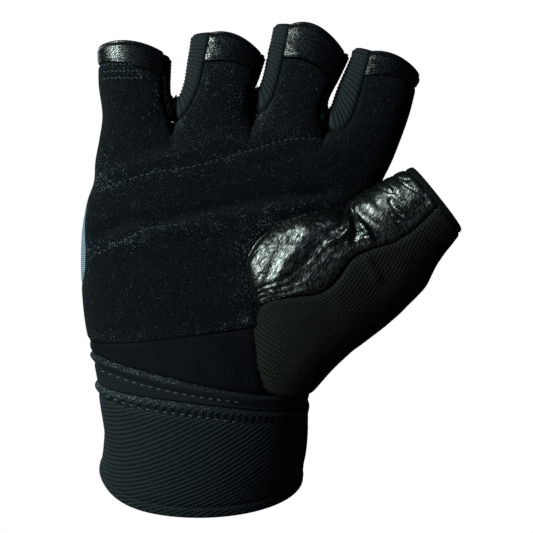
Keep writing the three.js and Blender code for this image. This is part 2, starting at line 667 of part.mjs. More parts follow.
// Solid of the thumb out to a distance from its face, from its root past its tip
function thumbPlug(off) {
  const turns = steps(THUMB_AROUND).slice(0, -1).map((s) => 360 * s);
  const cloth = steps(THUMB_ROWS).map((t) => t * THUMB_CLOTH_END);
  const places = [-THUMB_PAST, ...cloth, THUMB_END, THUMB_END + THUMB_PAST];
  return toSolid(plug(places.map((at) => turns.map((turn) => thumbPoint(at, turn, off)))));
}

// Solid of the hand's hollow
function handPlug(off) {
  const turns = steps(WRIST_COLUMNS).slice(0, -1).map((s) => 360 * s);
  const heights = steps(HOLLOW.rows).map((t) => mix(HOLLOW.low, HOLLOW.high, t));
  return toSolid(plug(heights.map((z) => turns.map((turn) => wristPoint(turn, z, off)))));
}

const thumbCutter = thumbPlug(CUT_GAP);
const handCutter = handPlug(-SUEDE);
const cutByThumb = (geometry) => toMesh(toSolid(geometry).subtract(thumbCutter));
const cutByHand = (geometry) => toMesh(toSolid(geometry).subtract(handCutter));
const suedeShares = steps(FINGER_ROWS).map((t) => HEM_FROM * t ** BOTTOM_CROWDING);
const fullShares = [...suedeShares, 1];
const patchEnd = (at) => read(THUMB, "at", at, "patch");

function palmPanel() {
  return cutByThumb(thicken(handPatches(true, SUEDE_LOW, null, PALM_ROWS, suedeShares), SUEDE, 1));
}

function handBackPanel() {
  const patches = handPatches(false, SUEDE_LOW, KNUCKLE, BACK_ROWS, []);
  return cutByThumb(thicken(patches, KNIT, -1));
}

function fingerBackPanel() {
  const gap = 2 * GAP;
  const low = Object.fromEntries(Object.entries(KNUCKLE).map(([place, height]) => [place, height + gap]));
  return cutByThumb(thicken(handPatches(false, low, null, CROWN_ROWS, fullShares), KNIT, -1));
}

function wristGusset() {
  const low = (across) => lineAt(ROLL_INNER, across) + 2 * GAP;
  const high = (across) => lineAt(SUEDE_LOW, across) - 2 * GAP;
  return cutByThumb(wristBand(low, high, [
    { off: 0, part: 0 },
    { off: 0, part: 0.5 },
    { off: 0, part: 1 },
    { off: -KNIT, part: 1 },
    { off: -KNIT, part: 0 },
  ]));
}

function wrapInner() {
  const low = (across) => lineAt(ROLL_OUTER, across) - WRAP_LAP;
  const high = (across) => lineAt(ROLL_INNER, across);
  const face = -ELASTIC - 2 * GAP;
  const inside = face - ELASTIC;
  return wristBand(low, high, [
    { off: face, part: 0 },
    { off: face, part: 0, up: 6 },
    { off: face + 0.4 * ROLL, part: 1, down: 2.3 },
    { off: 0, part: 1, down: 1.7 },
    { off: 0.3 * ROLL, part: 1, down: 0.9 },
    { off: -0.1 * ROLL, part: 1, down: 0.2 },
    { off: -ROLL, part: 1 },
    { off: inside + 0.5 * ROLL, part: 1, down: 0.5 },
    { off: inside, part: 1, down: 2.3 },
    { off: inside, part: 0, up: 6 },
    { off: inside, part: 0 },
  ]);
}

function wrapOuter() {
  const low = (across) => BOTTOM_RISE * Math.max(0, -across) ** 6;
  const high = (across) => lineAt(ROLL_OUTER, across);
  return wristBand(low, high, [
    { off: -0.7 * ROLL, part: 0 },
    { off: 0, part: 0, up: 0.35 },
    { off: 0.3 * ROLL, part: 0, up: 1.1 },
    { off: 0.2 * ROLL, part: 0, up: 2.2 },
    { off: 0, part: 0, up: 2.7 },
    { off: 0, part: 0.35 },
    { off: 0, part: 0.58 },
    { off: 0, part: 0.76 },
    { off: 0, part: 1, down: 3 },
    { off: 0.4 * ROLL, part: 1, down: 2 },
    { off: 0.6 * ROLL, part: 1, down: 1 },
    { off: 0.2 * ROLL, part: 1, down: 0.2 },
    { off: -0.6 * ROLL, part: 1 },
    { off: -ELASTIC, part: 1, down: 0.6 },
    { off: -ELASTIC, part: 1, down: 3 },
    { off: -ELASTIC, part: 0.76 },
    { off: -ELASTIC, part: 0.58 },
    { off: -ELASTIC, part: 0.35 },
    { off: -ELASTIC, part: 0, up: 2.7 },
    { off: -ELASTIC, part: 0, up: 0.4 },
  ]);
}

function fourchette(slit) {
  const inside = slitPatch(slit, KNIT);
  const points = inside.flat();
  return closedWall(gridFaces(inside, points, 0), points, slitPatch(slit, 0).flat());
}

function closureTab() {
  const grid = steps(TAB.rows).map((t) => steps(TAB.columns).map((s) => wristPoint(
    mix(TAB.from, TAB.to, s),
    mix(TAB.low, TAB.high, t),
    TAB.thickness + GAP,
  )));
  return thicken([grid], TAB.thickness, 1);
}

function thumbPatch() {
  const from = () => PATCH_TOP + SECTOR_GAP_TURN / 2;
  const to = (at) => patchEnd(at) - SECTOR_GAP_TURN / 2;
  return cutByHand(thicken([thumbSector(from, to, PATCH_COLUMNS)], LEATHER, 1));
}

function thumbPanel() {
  const from = (at) => patchEnd(at) + SECTOR_GAP_TURN / 2;
  const to = () => 360 + PATCH_TOP - SECTOR_GAP_TURN;
  return cutByHand(thicken([thumbSector(from, to, THUMB_COLUMNS)], MESH_CLOTH, 1));
}

function thumbRim() {
  const turns = steps(THUMB_AROUND).slice(0, -1).map((s) => 360 * s);
  const start = THUMB_CLOTH_END + RIM_GAP;
  const profile = [
    { at: start, off: -0.1 * BINDING },
    { at: start + RIM_ROUND, off: 0.2 * BINDING },
    { at: THUMB_END - RIM_ROUND, off: 0.2 * BINDING },
    { at: THUMB_END, off: -0.1 * BINDING },
    { at: THUMB_END, off: -0.7 * BINDING },
    { at: THUMB_END - RIM_ROUND, off: -0.8 * BINDING },
    { at: start, off: -0.8 * BINDING },
  ];
  return ring(profile.map(({ at, off }) => turns.map((turn) => thumbPoint(at, turn, off))));
}

const material = (color, roughness) => new THREE.MeshStandardMaterial({ color, roughness, metalness: 0 });
const glove = new THREE.Group();

function add(name, geometry, color, roughness) {
  const mesh = new THREE.Mesh(geometry, material(color, roughness));
  mesh.name = name;
  glove.add(mesh);
}

add("palm_panel", palmPanel(), COLOURS.suede, 0.95);
FINGERS.forEach(({ name }, i) => {
  add(`finger_hem_${name}`, thicken([hemPatch(i)], LEATHER + HEM_PROUD, 1, HEM_PROUD), COLOURS.leather, 0.35);
});
SLITS.forEach(({ name }, i) => {
  add(`fourchette_${name}`, fourchette(i), COLOURS.knit, 0.9);
});
add("finger_back_panel", fingerBackPanel(), COLOURS.knit, 0.9);
add("hand_back_panel", handBackPanel(), COLOURS.grey, 0.85);
add("wrist_gusset", wristGusset(), COLOURS.stretch, 0.8);
add("thumb_patch", thumbPatch(), COLOURS.leather, 0.35);
add("thumb_panel", thumbPanel(), COLOURS.mesh, 0.8);
add("thumb_rim", thumbRim(), COLOURS.knit, 0.9);
add("wrist_wrap_inner", wrapInner(), COLOURS.elastic, 0.9);
add("wrist_wrap_outer", wrapOuter(), COLOURS.elastic, 0.9);
add("closure_tab", closureTab(), COLOURS.knit, 0.9);

export default glove;
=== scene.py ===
"""Weightlifting glove for the right hand, worn and upright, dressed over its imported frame.

Every shape is worked out in millimetres as a function of two parameters on the worn hand's
form, and goes into Blender in metres. +Z runs to the fingertips, the palm faces -Y and the
thumb points to +X.
"""

from __future__ import annotations

import logging
import math
from dataclasses import dataclass, field
from enum import Enum
from typing import Any, Callable, Sequence

import bpy
import numpy as np
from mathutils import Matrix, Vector


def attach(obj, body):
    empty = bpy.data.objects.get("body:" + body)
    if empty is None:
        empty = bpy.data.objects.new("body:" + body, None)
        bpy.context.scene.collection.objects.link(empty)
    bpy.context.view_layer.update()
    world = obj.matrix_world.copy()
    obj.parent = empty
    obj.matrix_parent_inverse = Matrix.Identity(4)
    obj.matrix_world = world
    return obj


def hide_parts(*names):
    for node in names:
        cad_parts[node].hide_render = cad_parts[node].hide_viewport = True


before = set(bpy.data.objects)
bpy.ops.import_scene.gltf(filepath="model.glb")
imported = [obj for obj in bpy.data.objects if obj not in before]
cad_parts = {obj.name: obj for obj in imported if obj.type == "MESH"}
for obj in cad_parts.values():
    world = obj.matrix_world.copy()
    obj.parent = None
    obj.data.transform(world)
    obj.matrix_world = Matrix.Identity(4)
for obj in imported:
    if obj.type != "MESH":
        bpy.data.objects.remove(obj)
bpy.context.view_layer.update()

logging.basicConfig(level=logging.INFO, format="%(message)s")
LOG = logging.getLogger("glove")

# Metres in a millimetre, then sizes in millimetres: a fibre's cell and the least flat size
MM = 0.001
FIBRE = 0.34
THUMB_TIP = 7.0
BORDER_STEP = 0.02
UV_UNIT = 100
Array = np.ndarray
Table = dict[str, Array]

# Shares of the glove's sizes, one row for each height, finger, slit place or thumb section
TRUNK_ROWS = (
    (-0.025, -0.345, 0.338, 0.5, 0.5),
    (0, -0.343, 0.34, 0.5, 0.5),
    (0.1, -0.32, 0.355, 0.49, 0.49),
    (0.188, -0.33, 0.362, 0.479, 0.479),
    (0.25, -0.342, 0.369, 0.458, 0.458),
    (0.306, -0.357, 0.373, 0.417, 0.406),
    (0.375, -0.375, 0.391, 0.375, 0.354),
    (0.438, -0.383, 0.427, 0.354, 0.333),
    (0.519, -0.386, 0.482, 0.333, 0.312),
    (0.588, -0.38, 0.536, 0.323, 0.302),
    (0.644, -0.364, 0.576, 0.312, 0.292),
    (0.681, -0.345, 0.597, 0.304, 0.285),
    (0.731, -0.339, 0.632, 0.292, 0.271),
    (0.781, -0.326, 0.661, 0.271, 0.254),
    (0.825, -0.317, 0.684, 0.25, 0.24),
    (0.906, -0.33, 0.715, 0.24, 0.229),
    (0.988, -0.33, 0.744, 0.229, 0.219),
)
FINGER_ROWS = (
    (-0.317, -0.087, -0.33, -0.091, 0.477, 0.4),
    (-0.078, 0.175, -0.027, 0.222, 0.509, 0.418),
    (0.173, 0.416, 0.233, 0.498, 0.518, 0.427),
    (0.422, 0.671, 0.507, 0.744, 0.5, 0.418),
)
SLIT_ROWS = (
    (
        (-0.115, 0.966, -0.093, 0.964),
        (-0.113, 0.891, -0.096, 0.901),
        (-0.108, 0.85, -0.093, 0.881),
        (-0.089, 0.821, -0.079, 0.872),
        (-0.049, 0.834, -0.064, 0.879),
        (-0.019, 0.864, -0.054, 0.895),
        (0.002, 0.9, -0.045, 0.919),
        (0.019, 0.95, -0.036, 0.963),
        (0.037, 1.006, -0.025, 1.007),
    ),
    (
        (0.203, 0.966, 0.218, 0.968),
        (0.182, 0.911, 0.195, 0.92),
        (0.165, 0.866, 0.18, 0.899),
        (0.184, 0.836, 0.189, 0.894),
        (0.216, 0.846, 0.198, 0.899),
        (0.24, 0.87, 0.206, 0.912),
        (0.256, 0.906, 0.215, 0.934),
        (0.276, 0.96, 0.228, 0.979),
        (0.296, 1.025, 0.247, 1.031),
    ),
    (
        (0.475, 0.968, 0.494, 0.97),
        (0.444, 0.916, 0.462, 0.924),
        (0.407, 0.86, 0.427, 0.878),
        (0.396, 0.823, 0.421, 0.856),
        (0.418, 0.803, 0.426, 0.85),
        (0.453, 0.794, 0.435, 0.857),
        (0.485, 0.809, 0.444, 0.875),
        (0.511, 0.847, 0.457, 0.9),
        (0.535, 0.906, 0.479, 0.934),
        (0.561, 0.964, 0.508, 0.978),
    ),
)
LEFT_SEAM_ROWS = (
    (0.25, -12),
    (0.438, -10),
    (0.469, 12),
    (0.525, 21),
    (0.575, 21),
    (0.637, 15),
    (0.688, -8),
    (0.75, -12),
    (1.031, -12),
)
THUMB_ROWS = (
    (0, 0.118, 0.255, 0.375, 0.221, -0.026, 0.436, 0.385, 2),
    (1, 0.139, 0.419, 0.476, 0.295, -0.051, 0.477, 0.372, 45),
    (2, 0.115, 0.519, 0.618, 0.371, -0.103, 0.497, 0.385, 92),
    (3, 0.26, 0.606, 0.722, 0.441, -0.179, 0.456, 0.385, 93),
    (4, 0.447, 0.628, 0.771, 0.495, -0.282, 0.4, 0.359, 98),
    (5, 0.536, 0.662, 0.8, 0.525, -0.359, 0.349, 0.333, 100),
    (6, 0.611, 0.69, 0.824, 0.547, -0.423, 0.323, 0.323, 98),
    (7, 0.685, 0.715, 0.847, 0.574, -0.474, 0.308, 0.308, 97),
)


def read(rows: Table, key: str, at: Array, column: str) -> Array:
    """One column of a table between its rows, as cubic pieces that meet with one slope.

    The slope at a row is the mean of the slopes on its two sides, each weighted by the other
    side's span.

    Args:
        rows: The table.
        key: The column that the places are measured along.
        at: The places.
        column: The column to read.

    Returns:
        The values.
    """
    x, y = rows[key], rows[column]
    span = np.diff(x)
    slope = np.diff(y) / span
    inner = (slope[:-1] * span[1:] + slope[1:] * span[:-1]) / (span[:-1] + span[1:])
    tangent = np.concatenate([slope[:1], inner, slope[-1:]])
    i = np.searchsorted(x[1:-1], at, side="left")
    t = np.clip((at - x[i]) / span[i], 0, 1)
    t2, t3 = t * t, t * t * t
    start = (2 * t3 - 3 * t2 + 1) * y[i] + (t3 - 2 * t2 + t) * span[i] * tangent[i]
    return start + (3 * t2 - 2 * t3) * y[i + 1] + (t3 - t2) * span[i] * tangent[i + 1]


def mix(a: Any, b: Any, t: Any) -> Any:
    """The value a share t of the way from a to b."""
    return a + (b - a) * t


def smooth(x: Array) -> Array:
    """0 below 0, 1 above 1, and 3x²-2x³ between."""
    x = np.clip(x, 0, 1)
    return x * x * (3 - 2 * x)


def bump(distance: Array, width: float) -> Array:
    """A bell of height 1 that falls to a third at one width."""
    return np.exp(-((distance / width) ** 2))


def cos_sin(degrees: Any) -> tuple[Any, Any]:
    """Cosine and sine of angles in degrees."""
    return np.cos(np.radians(degrees)), np.sin(np.radians(degrees))


def signed_power(x: Array, power: Array | float) -> Array:
    """A power of the size, with the sign kept."""
    return np.sign(x) * np.abs(x) ** power


def hills(u: Array, v: Array, seed: int, octaves: int = 1) -> Array:
    """Smooth random hills from about -1 to 1, one for each unit square.

    A fixed lattice of random heights is blended between its corners by 3t²-2t³, and each
    octave adds the same at twice the density and half the height.

    Args:
        u: First coordinate.
        v: Second coordinate.
        seed: Seed of the lattice.
        octaves: How many densities are added.

    Returns:
        The heights.
    """
    lattice = np.random.default_rng(seed).uniform(-1, 1, (128, 128))
    total = np.zeros(np.broadcast(u, v).shape)
    for octave in range(octaves):
        a, b = u * 2**octave + 31 * octave, v * 2**octave + 17 * octave
        i, j = np.floor(a).astype(int), np.floor(b).astype(int)
        s, t = smooth(a - i), smooth(b - j)
        corner = lambda p, q: lattice[p % 128, q % 128]
        low = mix(corner(i, j), corner(i + 1, j), s)
        high = mix(corner(i, j + 1), corner(i + 1, j + 1), s)
        total += mix(low, high, t) * 0.5**octave
    return total


def creases(u: Array, v: Array, seed: int, sharpness: float = 3.0) -> Array:
    """Narrow winding valleys, 0 between them and -1 at their floor, where hills cross zero."""
    return -((1 - np.minimum(1, 1.6 * np.abs(hills(u, v, seed, 2)))) ** sharpness)


@dataclass
class GloveForm:
    """Outer face of the worn glove, as functions of a place on it.

    The straight hand is a stack of ovals that divides into four fingers. A point of it is then
    leaned: below bend_top the wrist tips back, above lean_from the fingers lean back, and the
    shift is the integral of the lean along the hand.
    """

    length: float = 160.0
    width: float = 110.0
    depth: float = 48.0
    finger_depth: float = 22.0
    thumb_depth: float = 39.0
    wrist_tip: float = math.radians(30)
    fingers_tip: float = math.radians(38.4)
    seam_gap: float = -0.8
    inset: float = 0.1
    thumb_power: float = 2.3
    right_seam: float = -12.0
    crotch_turn: float = 52.0
    crown_sag: float = 5.0

    def __post_init__(self) -> None:
        """Works out the tables and heights that follow the sizes."""
        high = self.length
        self.trunk_rows = self.table("z*length left*width right*width front*depth back*depth", TRUNK_ROWS)
        self.finger_rows = self.table(
            "left_low*width right_low*width left_high*width right_high*width"
            " low*finger_depth high*finger_depth",
            FINGER_ROWS,
        )
        places = "at seam_x*width seam_z*length crest_x*width crest_z*length"
        self.slits = [self.table(places, [(i, *row) for i, row in enumerate(rows)]) for rows in SLIT_ROWS]
        self.left_seam = self.table("z*length turn", LEFT_SEAM_ROWS)
        self.thumb_rows = self.table(
            "at upper_x*width upper_z*length lower_x*width lower_z*length"
            " y*thumb_depth front*thumb_depth back*thumb_depth patch",
            THUMB_ROWS,
        )
        self.bend_top, self.lean_from = 0.5 * high, 0.72 * high
        self.lean_per_mm = self.fingers_tip / high
        self.suede_low = (0.328 * high, 0.359 * high, 0.391 * high)
        self.knuckle = (0.688 * high, 0.731 * high, 0.706 * high)
        self.roll_inner = (0.304 * high, 0.263 * high, 0.219 * high)
        self.roll_outer = (0.235 * high, 0.226 * high, 0.185 * high)
        self.crown_left, self.crown_right = 0.831 * high, 0.819 * high
        self.tip_left, self.tip_right = 0.984 * high, 0.922 * high
        self.arches = tuple(share * self.finger_depth for share in (0.08, 0.1, 0.16, 0.08))
        self.crown_turn = float(read(self.left_seam, "z", np.array(self.crown_left), "turn"))

    def table(self, columns: str, rows: Sequence[Sequence[float]]) -> Table:
        """Columns of a table by name.

        Args:
            columns: The names, apart by spaces. left*width is named left and is times the width.
            rows: The rows of the table.

        Returns:
            The columns as arrays.
        """
        made = {}
        for column, values in zip(columns.split(), np.array(rows, float).T):
            name, _, size = column.partition("*")
            made[name] = values * getattr(self, size) if size else values
        return made

    @staticmethod
    def line(heights: tuple[float, float, float], across: Array) -> Array:
        """A parabola through its heights at the left side, the middle and the right side."""
        left, middle, right = heights
        return middle + (right - left) / 2 * across + ((left + right) / 2 - middle) * across**2

    def lean(self, x: Array, y: Array, z: Array) -> Array:
        """Leans points of the straight hand into the worn pose.

        Args:
            x: Across the hand.
            y: Depth from the straight hand's middle plane.
            z: Height on the straight hand.

        Returns:
            The points, with their coordinates on the last axis.
        """
        wrist = self.wrist_tip * np.maximum(0, 1 - z / self.bend_top)
        fingers = np.maximum(0, z - self.lean_from) * self.lean_per_mm
        angle = wrist - fingers
        low = math.log(math.cos(self.wrist_tip)) - np.log(np.cos(wrist))
        shift = self.bend_top / self.wrist_tip * low - np.log(np.cos(fingers)) / self.lean_per_mm
        return np.stack(np.broadcast_arrays(x, shift + y * np.cos(angle), z + y * np.sin(angle)), -1)

    def trunk(self, z: Array) -> tuple[Array, Array, Array, Array, Array]:
        """Left and right edge, front and back depth and the oval's power at heights."""
        values = [read(self.trunk_rows, "z", z, name) for name in ("left", "right", "front", "back")]
        power = 2 + 0.35 * smooth((z / self.length - 0.28) / 0.19)
        return (*values, power)

    def face_height(self, x: Array, z: Array, front: Array | bool) -> Array:
        """Depth of the outer face from the middle plane.

        The trunk's oval gives way upwards to the greatest of four finger ovals, whose valleys
        are rounded.

        Args:
            x: Across the hand.
            z: Height on the straight hand.
            front: Whether the palm's side is asked for.

        Returns:
            The depths.
        """
        left, right, ahead, behind, power = self.trunk(z)
        across = np.minimum(1, np.abs((2 * x - left - right) / (right - left)))
        palm = np.where(front, ahead, behind) * (1 - across**power) ** (1 / power)
        fingers = np.zeros(np.broadcast(x, z).shape)
        rows = self.finger_rows
        t = (z / self.length - 0.8) / 0.1875
        for i in range(4):
            low = left if i == 0 else mix(rows["left_low"][i], rows["left_high"][i], t)
            high = right if i == 3 else mix(rows["right_low"][i], rows["right_high"][i], t)
            depth = mix(rows["low"][i], rows["high"][i], np.clip(t, -0.3, 1.1))
            place = np.minimum(1, np.abs((2 * x - low - high) / (high - low)))
            height = depth * np.sqrt(1 - place**2)
            valley = 0.27 * self.finger_depth * smooth(np.minimum(fingers, height) / 8)
            fingers = (fingers + height + np.hypot(fingers - height, valley)) / 2
        return mix(palm, fingers, smooth((z / self.length - 0.7375) / 0.1125))

    def slit(self, index: int, share: Array, right: bool, kind: str = "seam") -> tuple[Array, Array]:
        """Place on a slit's line: share 0 is its bottom, 1 its end at the left or right tip."""
        rows = self.slits[index]
        bottom = float(np.argmin(rows["seam_z"]))
        at = mix(bottom, rows["at"][-1] if right else 0.0, share)
        floor = rows[f"{kind}_z"].min() if kind == "seam" else -np.inf
        return read(rows, "at", at, f"{kind}_x"), np.maximum(read(rows, "at", at, f"{kind}_z"), floor)

    def border(self, finger: int, share: Array, right: bool) -> tuple[Array, Array]:
        """Left or right border of a finger at a share of its length above the slits."""
        if finger == 0 and not right:
            z = mix(self.crown_left, self.tip_left, share)
            return self.trunk(z)[0], z
        if finger == 3 and right:
            z = mix(self.crown_right, self.tip_right, share)
            return self.trunk(z)[1], z
        slit = finger if right else finger - 1
        x, z = self.slit(slit, share, not right)
        x1, z1 = self.slit(slit, np.minimum(1, share + BORDER_STEP), not right)
        below = self.slit(slit, np.maximum(share - BORDER_STEP, 0), not right)
        beyond = self.slit(slit, np.maximum(BORDER_STEP - share, 0), right)
        x0, z0 = (np.where(share > BORDER_STEP, a, b) for a, b in zip(below, beyond))
        side = (-self.inset if right else self.inset) / np.hypot(x1 - x0, z1 - z0)
        return x + side * (z1 - z0), z - side * (x1 - x0)

    def finger_place(self, finger: int, s: Array, share: Array, outer: float) -> tuple[Array, Array, Array]:
        """Place on a finger, s from its left to its right border, share of its length.

        Args:
            finger: 0 for the little finger to 3 for the index finger.
            s: Share of the way round the finger's front or back.
            share: Share of the way up.
            outer: Turn at which the outer fingers' outer border lies.

        Returns:
            x, z and whether the place has turned past the side.
        """
        left, right = self.border(finger, share, False), self.border(finger, share, True)
        low = outer if finger == 0 else self.crotch_turn
        high = 180 - outer if finger == 3 else 152.0
        turn = np.radians(mix(low, high, s))
        start = 1.0 if finger == 0 else math.cos(math.radians(low))
        end = -1.0 if finger == 3 else math.cos(math.radians(high))
        part = (start - np.cos(turn)) / (start - end)
        arch = self.arches[finger] * share**3 - self.crown_sag * (1 - smooth(share / 0.3))
        x = mix(left[0], right[0], part)
        z = mix(left[1], right[1], part) + arch * 4 * part * (1 - part)
        return x, z, np.broadcast_to(np.sin(turn) < 0, x.shape)

    def face_point(self, x: Array, z: Array, flip: Array, front: bool) -> Array:
        """Leaned point of the outer face over a place of the palm's or the back's side."""
        ahead = np.logical_xor(flip, front)
        height = self.face_height(x, z, ahead)
        return self.lean(x, np.where(ahead, -height, height), z)

    def thumb(self, at: Array, turn: Array, off: Array | float = 0.0) -> Array:
        """Straight point of the thumb's face, before it is leaned.

        A section is an oval of the thumb's power between an upper and a lower edge. A fold at
        the joint draws it in.

        Args:
            at: From 0 at the wrist to 7 at the tip.
            turn: Degrees from the upper edge round the front.
            off: How far outside the face.

        Returns:
            The points.
        """
        place = np.clip(at, 0, THUMB_TIP)
        row = {name: read(self.thumb_rows, "at", place, name) for name in self.thumb_rows if name != "at"}
        half_x, half_z = (row["lower_x"] - row["upper_x"]) / 2, (row["lower_z"] - row["upper_z"]) / 2
        half = np.hypot(half_x, half_z)
        out = off - 0.062 * self.thumb_depth * bump(np.hypot((at - 4.0) / 0.28, (turn - 20) / 70), 1)
        cos, sin = cos_sin(turn)
        past, power = (at - place) * 4, 2 / self.thumb_power
        reach = signed_power(cos, power) * (half + out)
        x = (row["upper_x"] + row["lower_x"]) / 2 - half_z / half * past - half_x / half * reach
        z = (row["upper_z"] + row["lower_z"]) / 2 + half_x / half * past - half_z / half * reach
        depth = np.where(sin > 0, row["front"], row["back"]) + out
        return np.stack(np.broadcast_arrays(x, row["y"] - depth * signed_power(sin, power), z), -1)

    def wrist(self, turn: Array, z: Array, off: Array | float) -> Array:
        """Leaned point of an oval round the wrist, turn in degrees from the left round the front."""
        left, right, ahead, behind, power = self.trunk(z)
        cos, sin = cos_sin(turn)
        x = (left + right) / 2 - ((right - left) / 2 + off) * signed_power(cos, 2 / power)
        return self.lean(x, -(np.where(sin > 0, ahead, behind) + off) * signed_power(sin, 2 / power), z)


@dataclass
class Cloth:
    """Joined grids of points in millimetres, with pattern coordinates and named values.

    Attributes:
        points: One row for each point.
        quads: Four point numbers for each face, anticlockwise seen from outside.
        uv: Pattern coordinates in millimetres for each corner of each face.
        marks: Named values at each point.
    """

    points: Array
    quads: Array
    uv: Array
    marks: dict[str, Array] = field(default_factory=dict)

    @classmethod
    def grid(cls, points: Array, u: Array, v: Array, flip: bool = False, **marks: Array) -> Cloth:
        """Faces between the rows and columns of a grid of points.

        Args:
            points: Rows and columns of points.
            u: First pattern coordinate at each point.
            v: Second pattern coordinate.
            flip: Whether the grid is seen from inside.
            marks: Named values at each point.

        Returns:
            The cloth.
        """
        rows, columns = points.shape[:2]
        number = np.arange(rows * columns).reshape(rows, columns)
        corners = [number[:-1, :-1], number[:-1, 1:], number[1:, 1:], number[1:, :-1]]
        quads = np.stack([c.ravel() for c in corners], 1)
        if flip:
            quads = quads[:, ::-1]
        shape = (rows, columns)
        uv = np.stack([np.broadcast_to(u, shape).ravel(), np.broadcast_to(v, shape).ravel()], 1)[quads]
        flat = {name: np.broadcast_to(mark, shape).ravel().copy() for name, mark in marks.items()}
        return cls(points.reshape(-1, 3), quads, uv, flat)

    @classmethod
    def joined(cls, parts: Sequence[Cloth], apart: float = 1e-3) -> Cloth:
        """Parts as one cloth, where points closer than apart become one."""
        points = np.concatenate([p.points for p in parts])
        first = np.cumsum([0] + [len(p.points) for p in parts[:-1]])
        quads = np.concatenate([p.quads + start for p, start in zip(parts, first)])
        keys = np.round(points / apart).astype(np.int64)
        _, chosen, number = np.unique(keys, axis=0, return_index=True, return_inverse=True)
        number = number.ravel()
        marks = {
            name: np.concatenate([p.marks[name] for p in parts])[chosen] for name in parts[0].marks
        }
        return cls(points[chosen], number[quads], np.concatenate([p.uv for p in parts]), marks)

    @property
    def places(self) -> Array:
        """Where the points are across and up, as two rows."""
        return self.points[:, ::2].T

    def normals(self) -> Array:
        """Direction outwards at each point: the sum of its faces' crossed diagonals, to length 1."""
        p = self.points[self.quads]
        face = np.cross(p[:, 2] - p[:, 0], p[:, 3] - p[:, 1])
        total = np.zeros_like(self.points)
        for corner in range(4):
            for axis in range(3):
                total[:, axis] += np.bincount(
                    self.quads[:, corner], face[:, axis], minlength=len(self.points)
                )
        return total / np.maximum(np.linalg.norm(total, axis=1, keepdims=True), 1e-12)

    def reversed(self) -> Cloth:
        """The cloth seen from its other side."""
        return Cloth(self.points, self.quads[:, ::-1], self.uv[:, ::-1], self.marks)

    def outward(self, weights: Array | float = 1.0) -> Cloth:
        """The cloth, reversed if by weight its normals point to its middle."""
        away = (self.points - self.points.mean(0)) * weights
        return self if (self.normals() * away).sum() > 0 else self.reversed()

    def pushed(self, height: Array) -> Cloth:
        """The cloth with each point moved outwards by its height."""
        return Cloth(self.points + self.normals() * height[:, None], self.quads, self.uv, self.marks)

    def kept(self, faces: Array) -> Cloth:
        """The chosen faces alone, without loose points."""
        quads = self.quads[faces]
        used, number = np.unique(quads, return_inverse=True)
        marks = {name: mark[used] for name, mark in self.marks.items()}
        return Cloth(self.points[used], number.reshape(quads.shape), self.uv[faces], marks)

    def rim(self) -> tuple[Array, Array]:
        """Start and end points of the edges that have one face."""
        start = self.quads.ravel()
        end = np.roll(self.quads, -1, axis=1).ravel()
        key = np.minimum(start, end) * np.int64(len(self.points)) + np.maximum(start, end)
        _, where, count = np.unique(key, return_index=True, return_counts=True)
        single = where[count == 1]
        return start[single], end[single]

    def to_rim(self, limit: float = 12.0) -> Array:
        """Distance from each point to the nearest point of the rim, no more than limit."""
        border = self.points[np.unique(self.rim()[0])]
        return nearest(self.points, border, limit)[0]

    def thick(self, wall: float, roundness: float = 0.3) -> Cloth:
        """A closed wall: the cloth, its copy a wall's thickness inside, and a rounded rim.

        Args:
            wall: The thickness.
            roundness: How far the rim's middle bulges, as a share of the wall.

        Returns:
            The closed cloth.
        """
        normal, count = self.normals(), len(self.points)
        start, end = self.rim()
        edge = self.points[end] - self.points[start]
        away = np.zeros_like(self.points)
        for ends in (start, end):
            np.add.at(away, ends, np.cross(edge, normal[ends]))
        border = np.unique(start)
        away = away[border] / np.maximum(np.linalg.norm(away[border], axis=1, keepdims=True), 1e-12)
        inner = self.points - normal * wall
        middle = self.points[border] - normal[border] * wall / 2 + away * wall * roundness
        place = np.zeros(count, np.int64)
        place[border] = np.arange(len(border)) + 2 * count
        quads = np.concatenate([
            self.quads,
            self.quads[:, ::-1] + count,
            np.stack([end, start, place[start], place[end]], 1),
            np.stack([place[end], place[start], start + count, end + count], 1),
        ])
        at_point = np.zeros((count, 2))
        at_point[self.quads.ravel()] = self.uv.reshape(-1, 2)
        edges = np.stack([at_point[end], at_point[start], at_point[start], at_point[end]], 1)
        uv = np.concatenate([self.uv, self.uv[:, ::-1], edges, edges])
        marks = {name: np.concatenate([mark, mark, mark[border]]) for name, mark in self.marks.items()}
        return Cloth(np.concatenate([self.points, inner, middle]), quads, uv, marks)


def nearest(points: Array, among: Array, limit: float) -> tuple[Array, Array]:
    """Distance to, and number of, the nearest of some points, in blocks.

    Args:
        points: The points that look.
        among: The points that are looked for.
        limit: The greatest distance that is told.

    Returns:
        The distances and the numbers.
    """
    far = np.full(len(points), limit)
    which = np.zeros(len(points), int)
    block = max(1, 4_000_000 // len(among))
    squares = (among**2).sum(1)
    for first in range(0, len(points), block):
        part = points[first : first + block]
        gap = (part**2).sum(1)[:, None] + squares[None] - 2 * part @ among.T
        best = gap.argmin(1)
        which[first : first + block] = best
        distance = np.sqrt(np.maximum(gap[np.arange(len(part)), best], 0))
        far[first : first + block] = np.minimum(distance, limit)
    return far, which


def linear(colour: str) -> tuple[float, float, float, float]:
    """Linear colour of an sRGB hex value such as 1a2b3c."""
    parts = [int(colour[i : i + 2], 16) / 255 for i in (0, 2, 4)]
    curve = [c / 12.92 if c <= 0.04045 else ((c + 0.055) / 1.055) ** 2.4 for c in parts]
    return (*curve, 1.0)


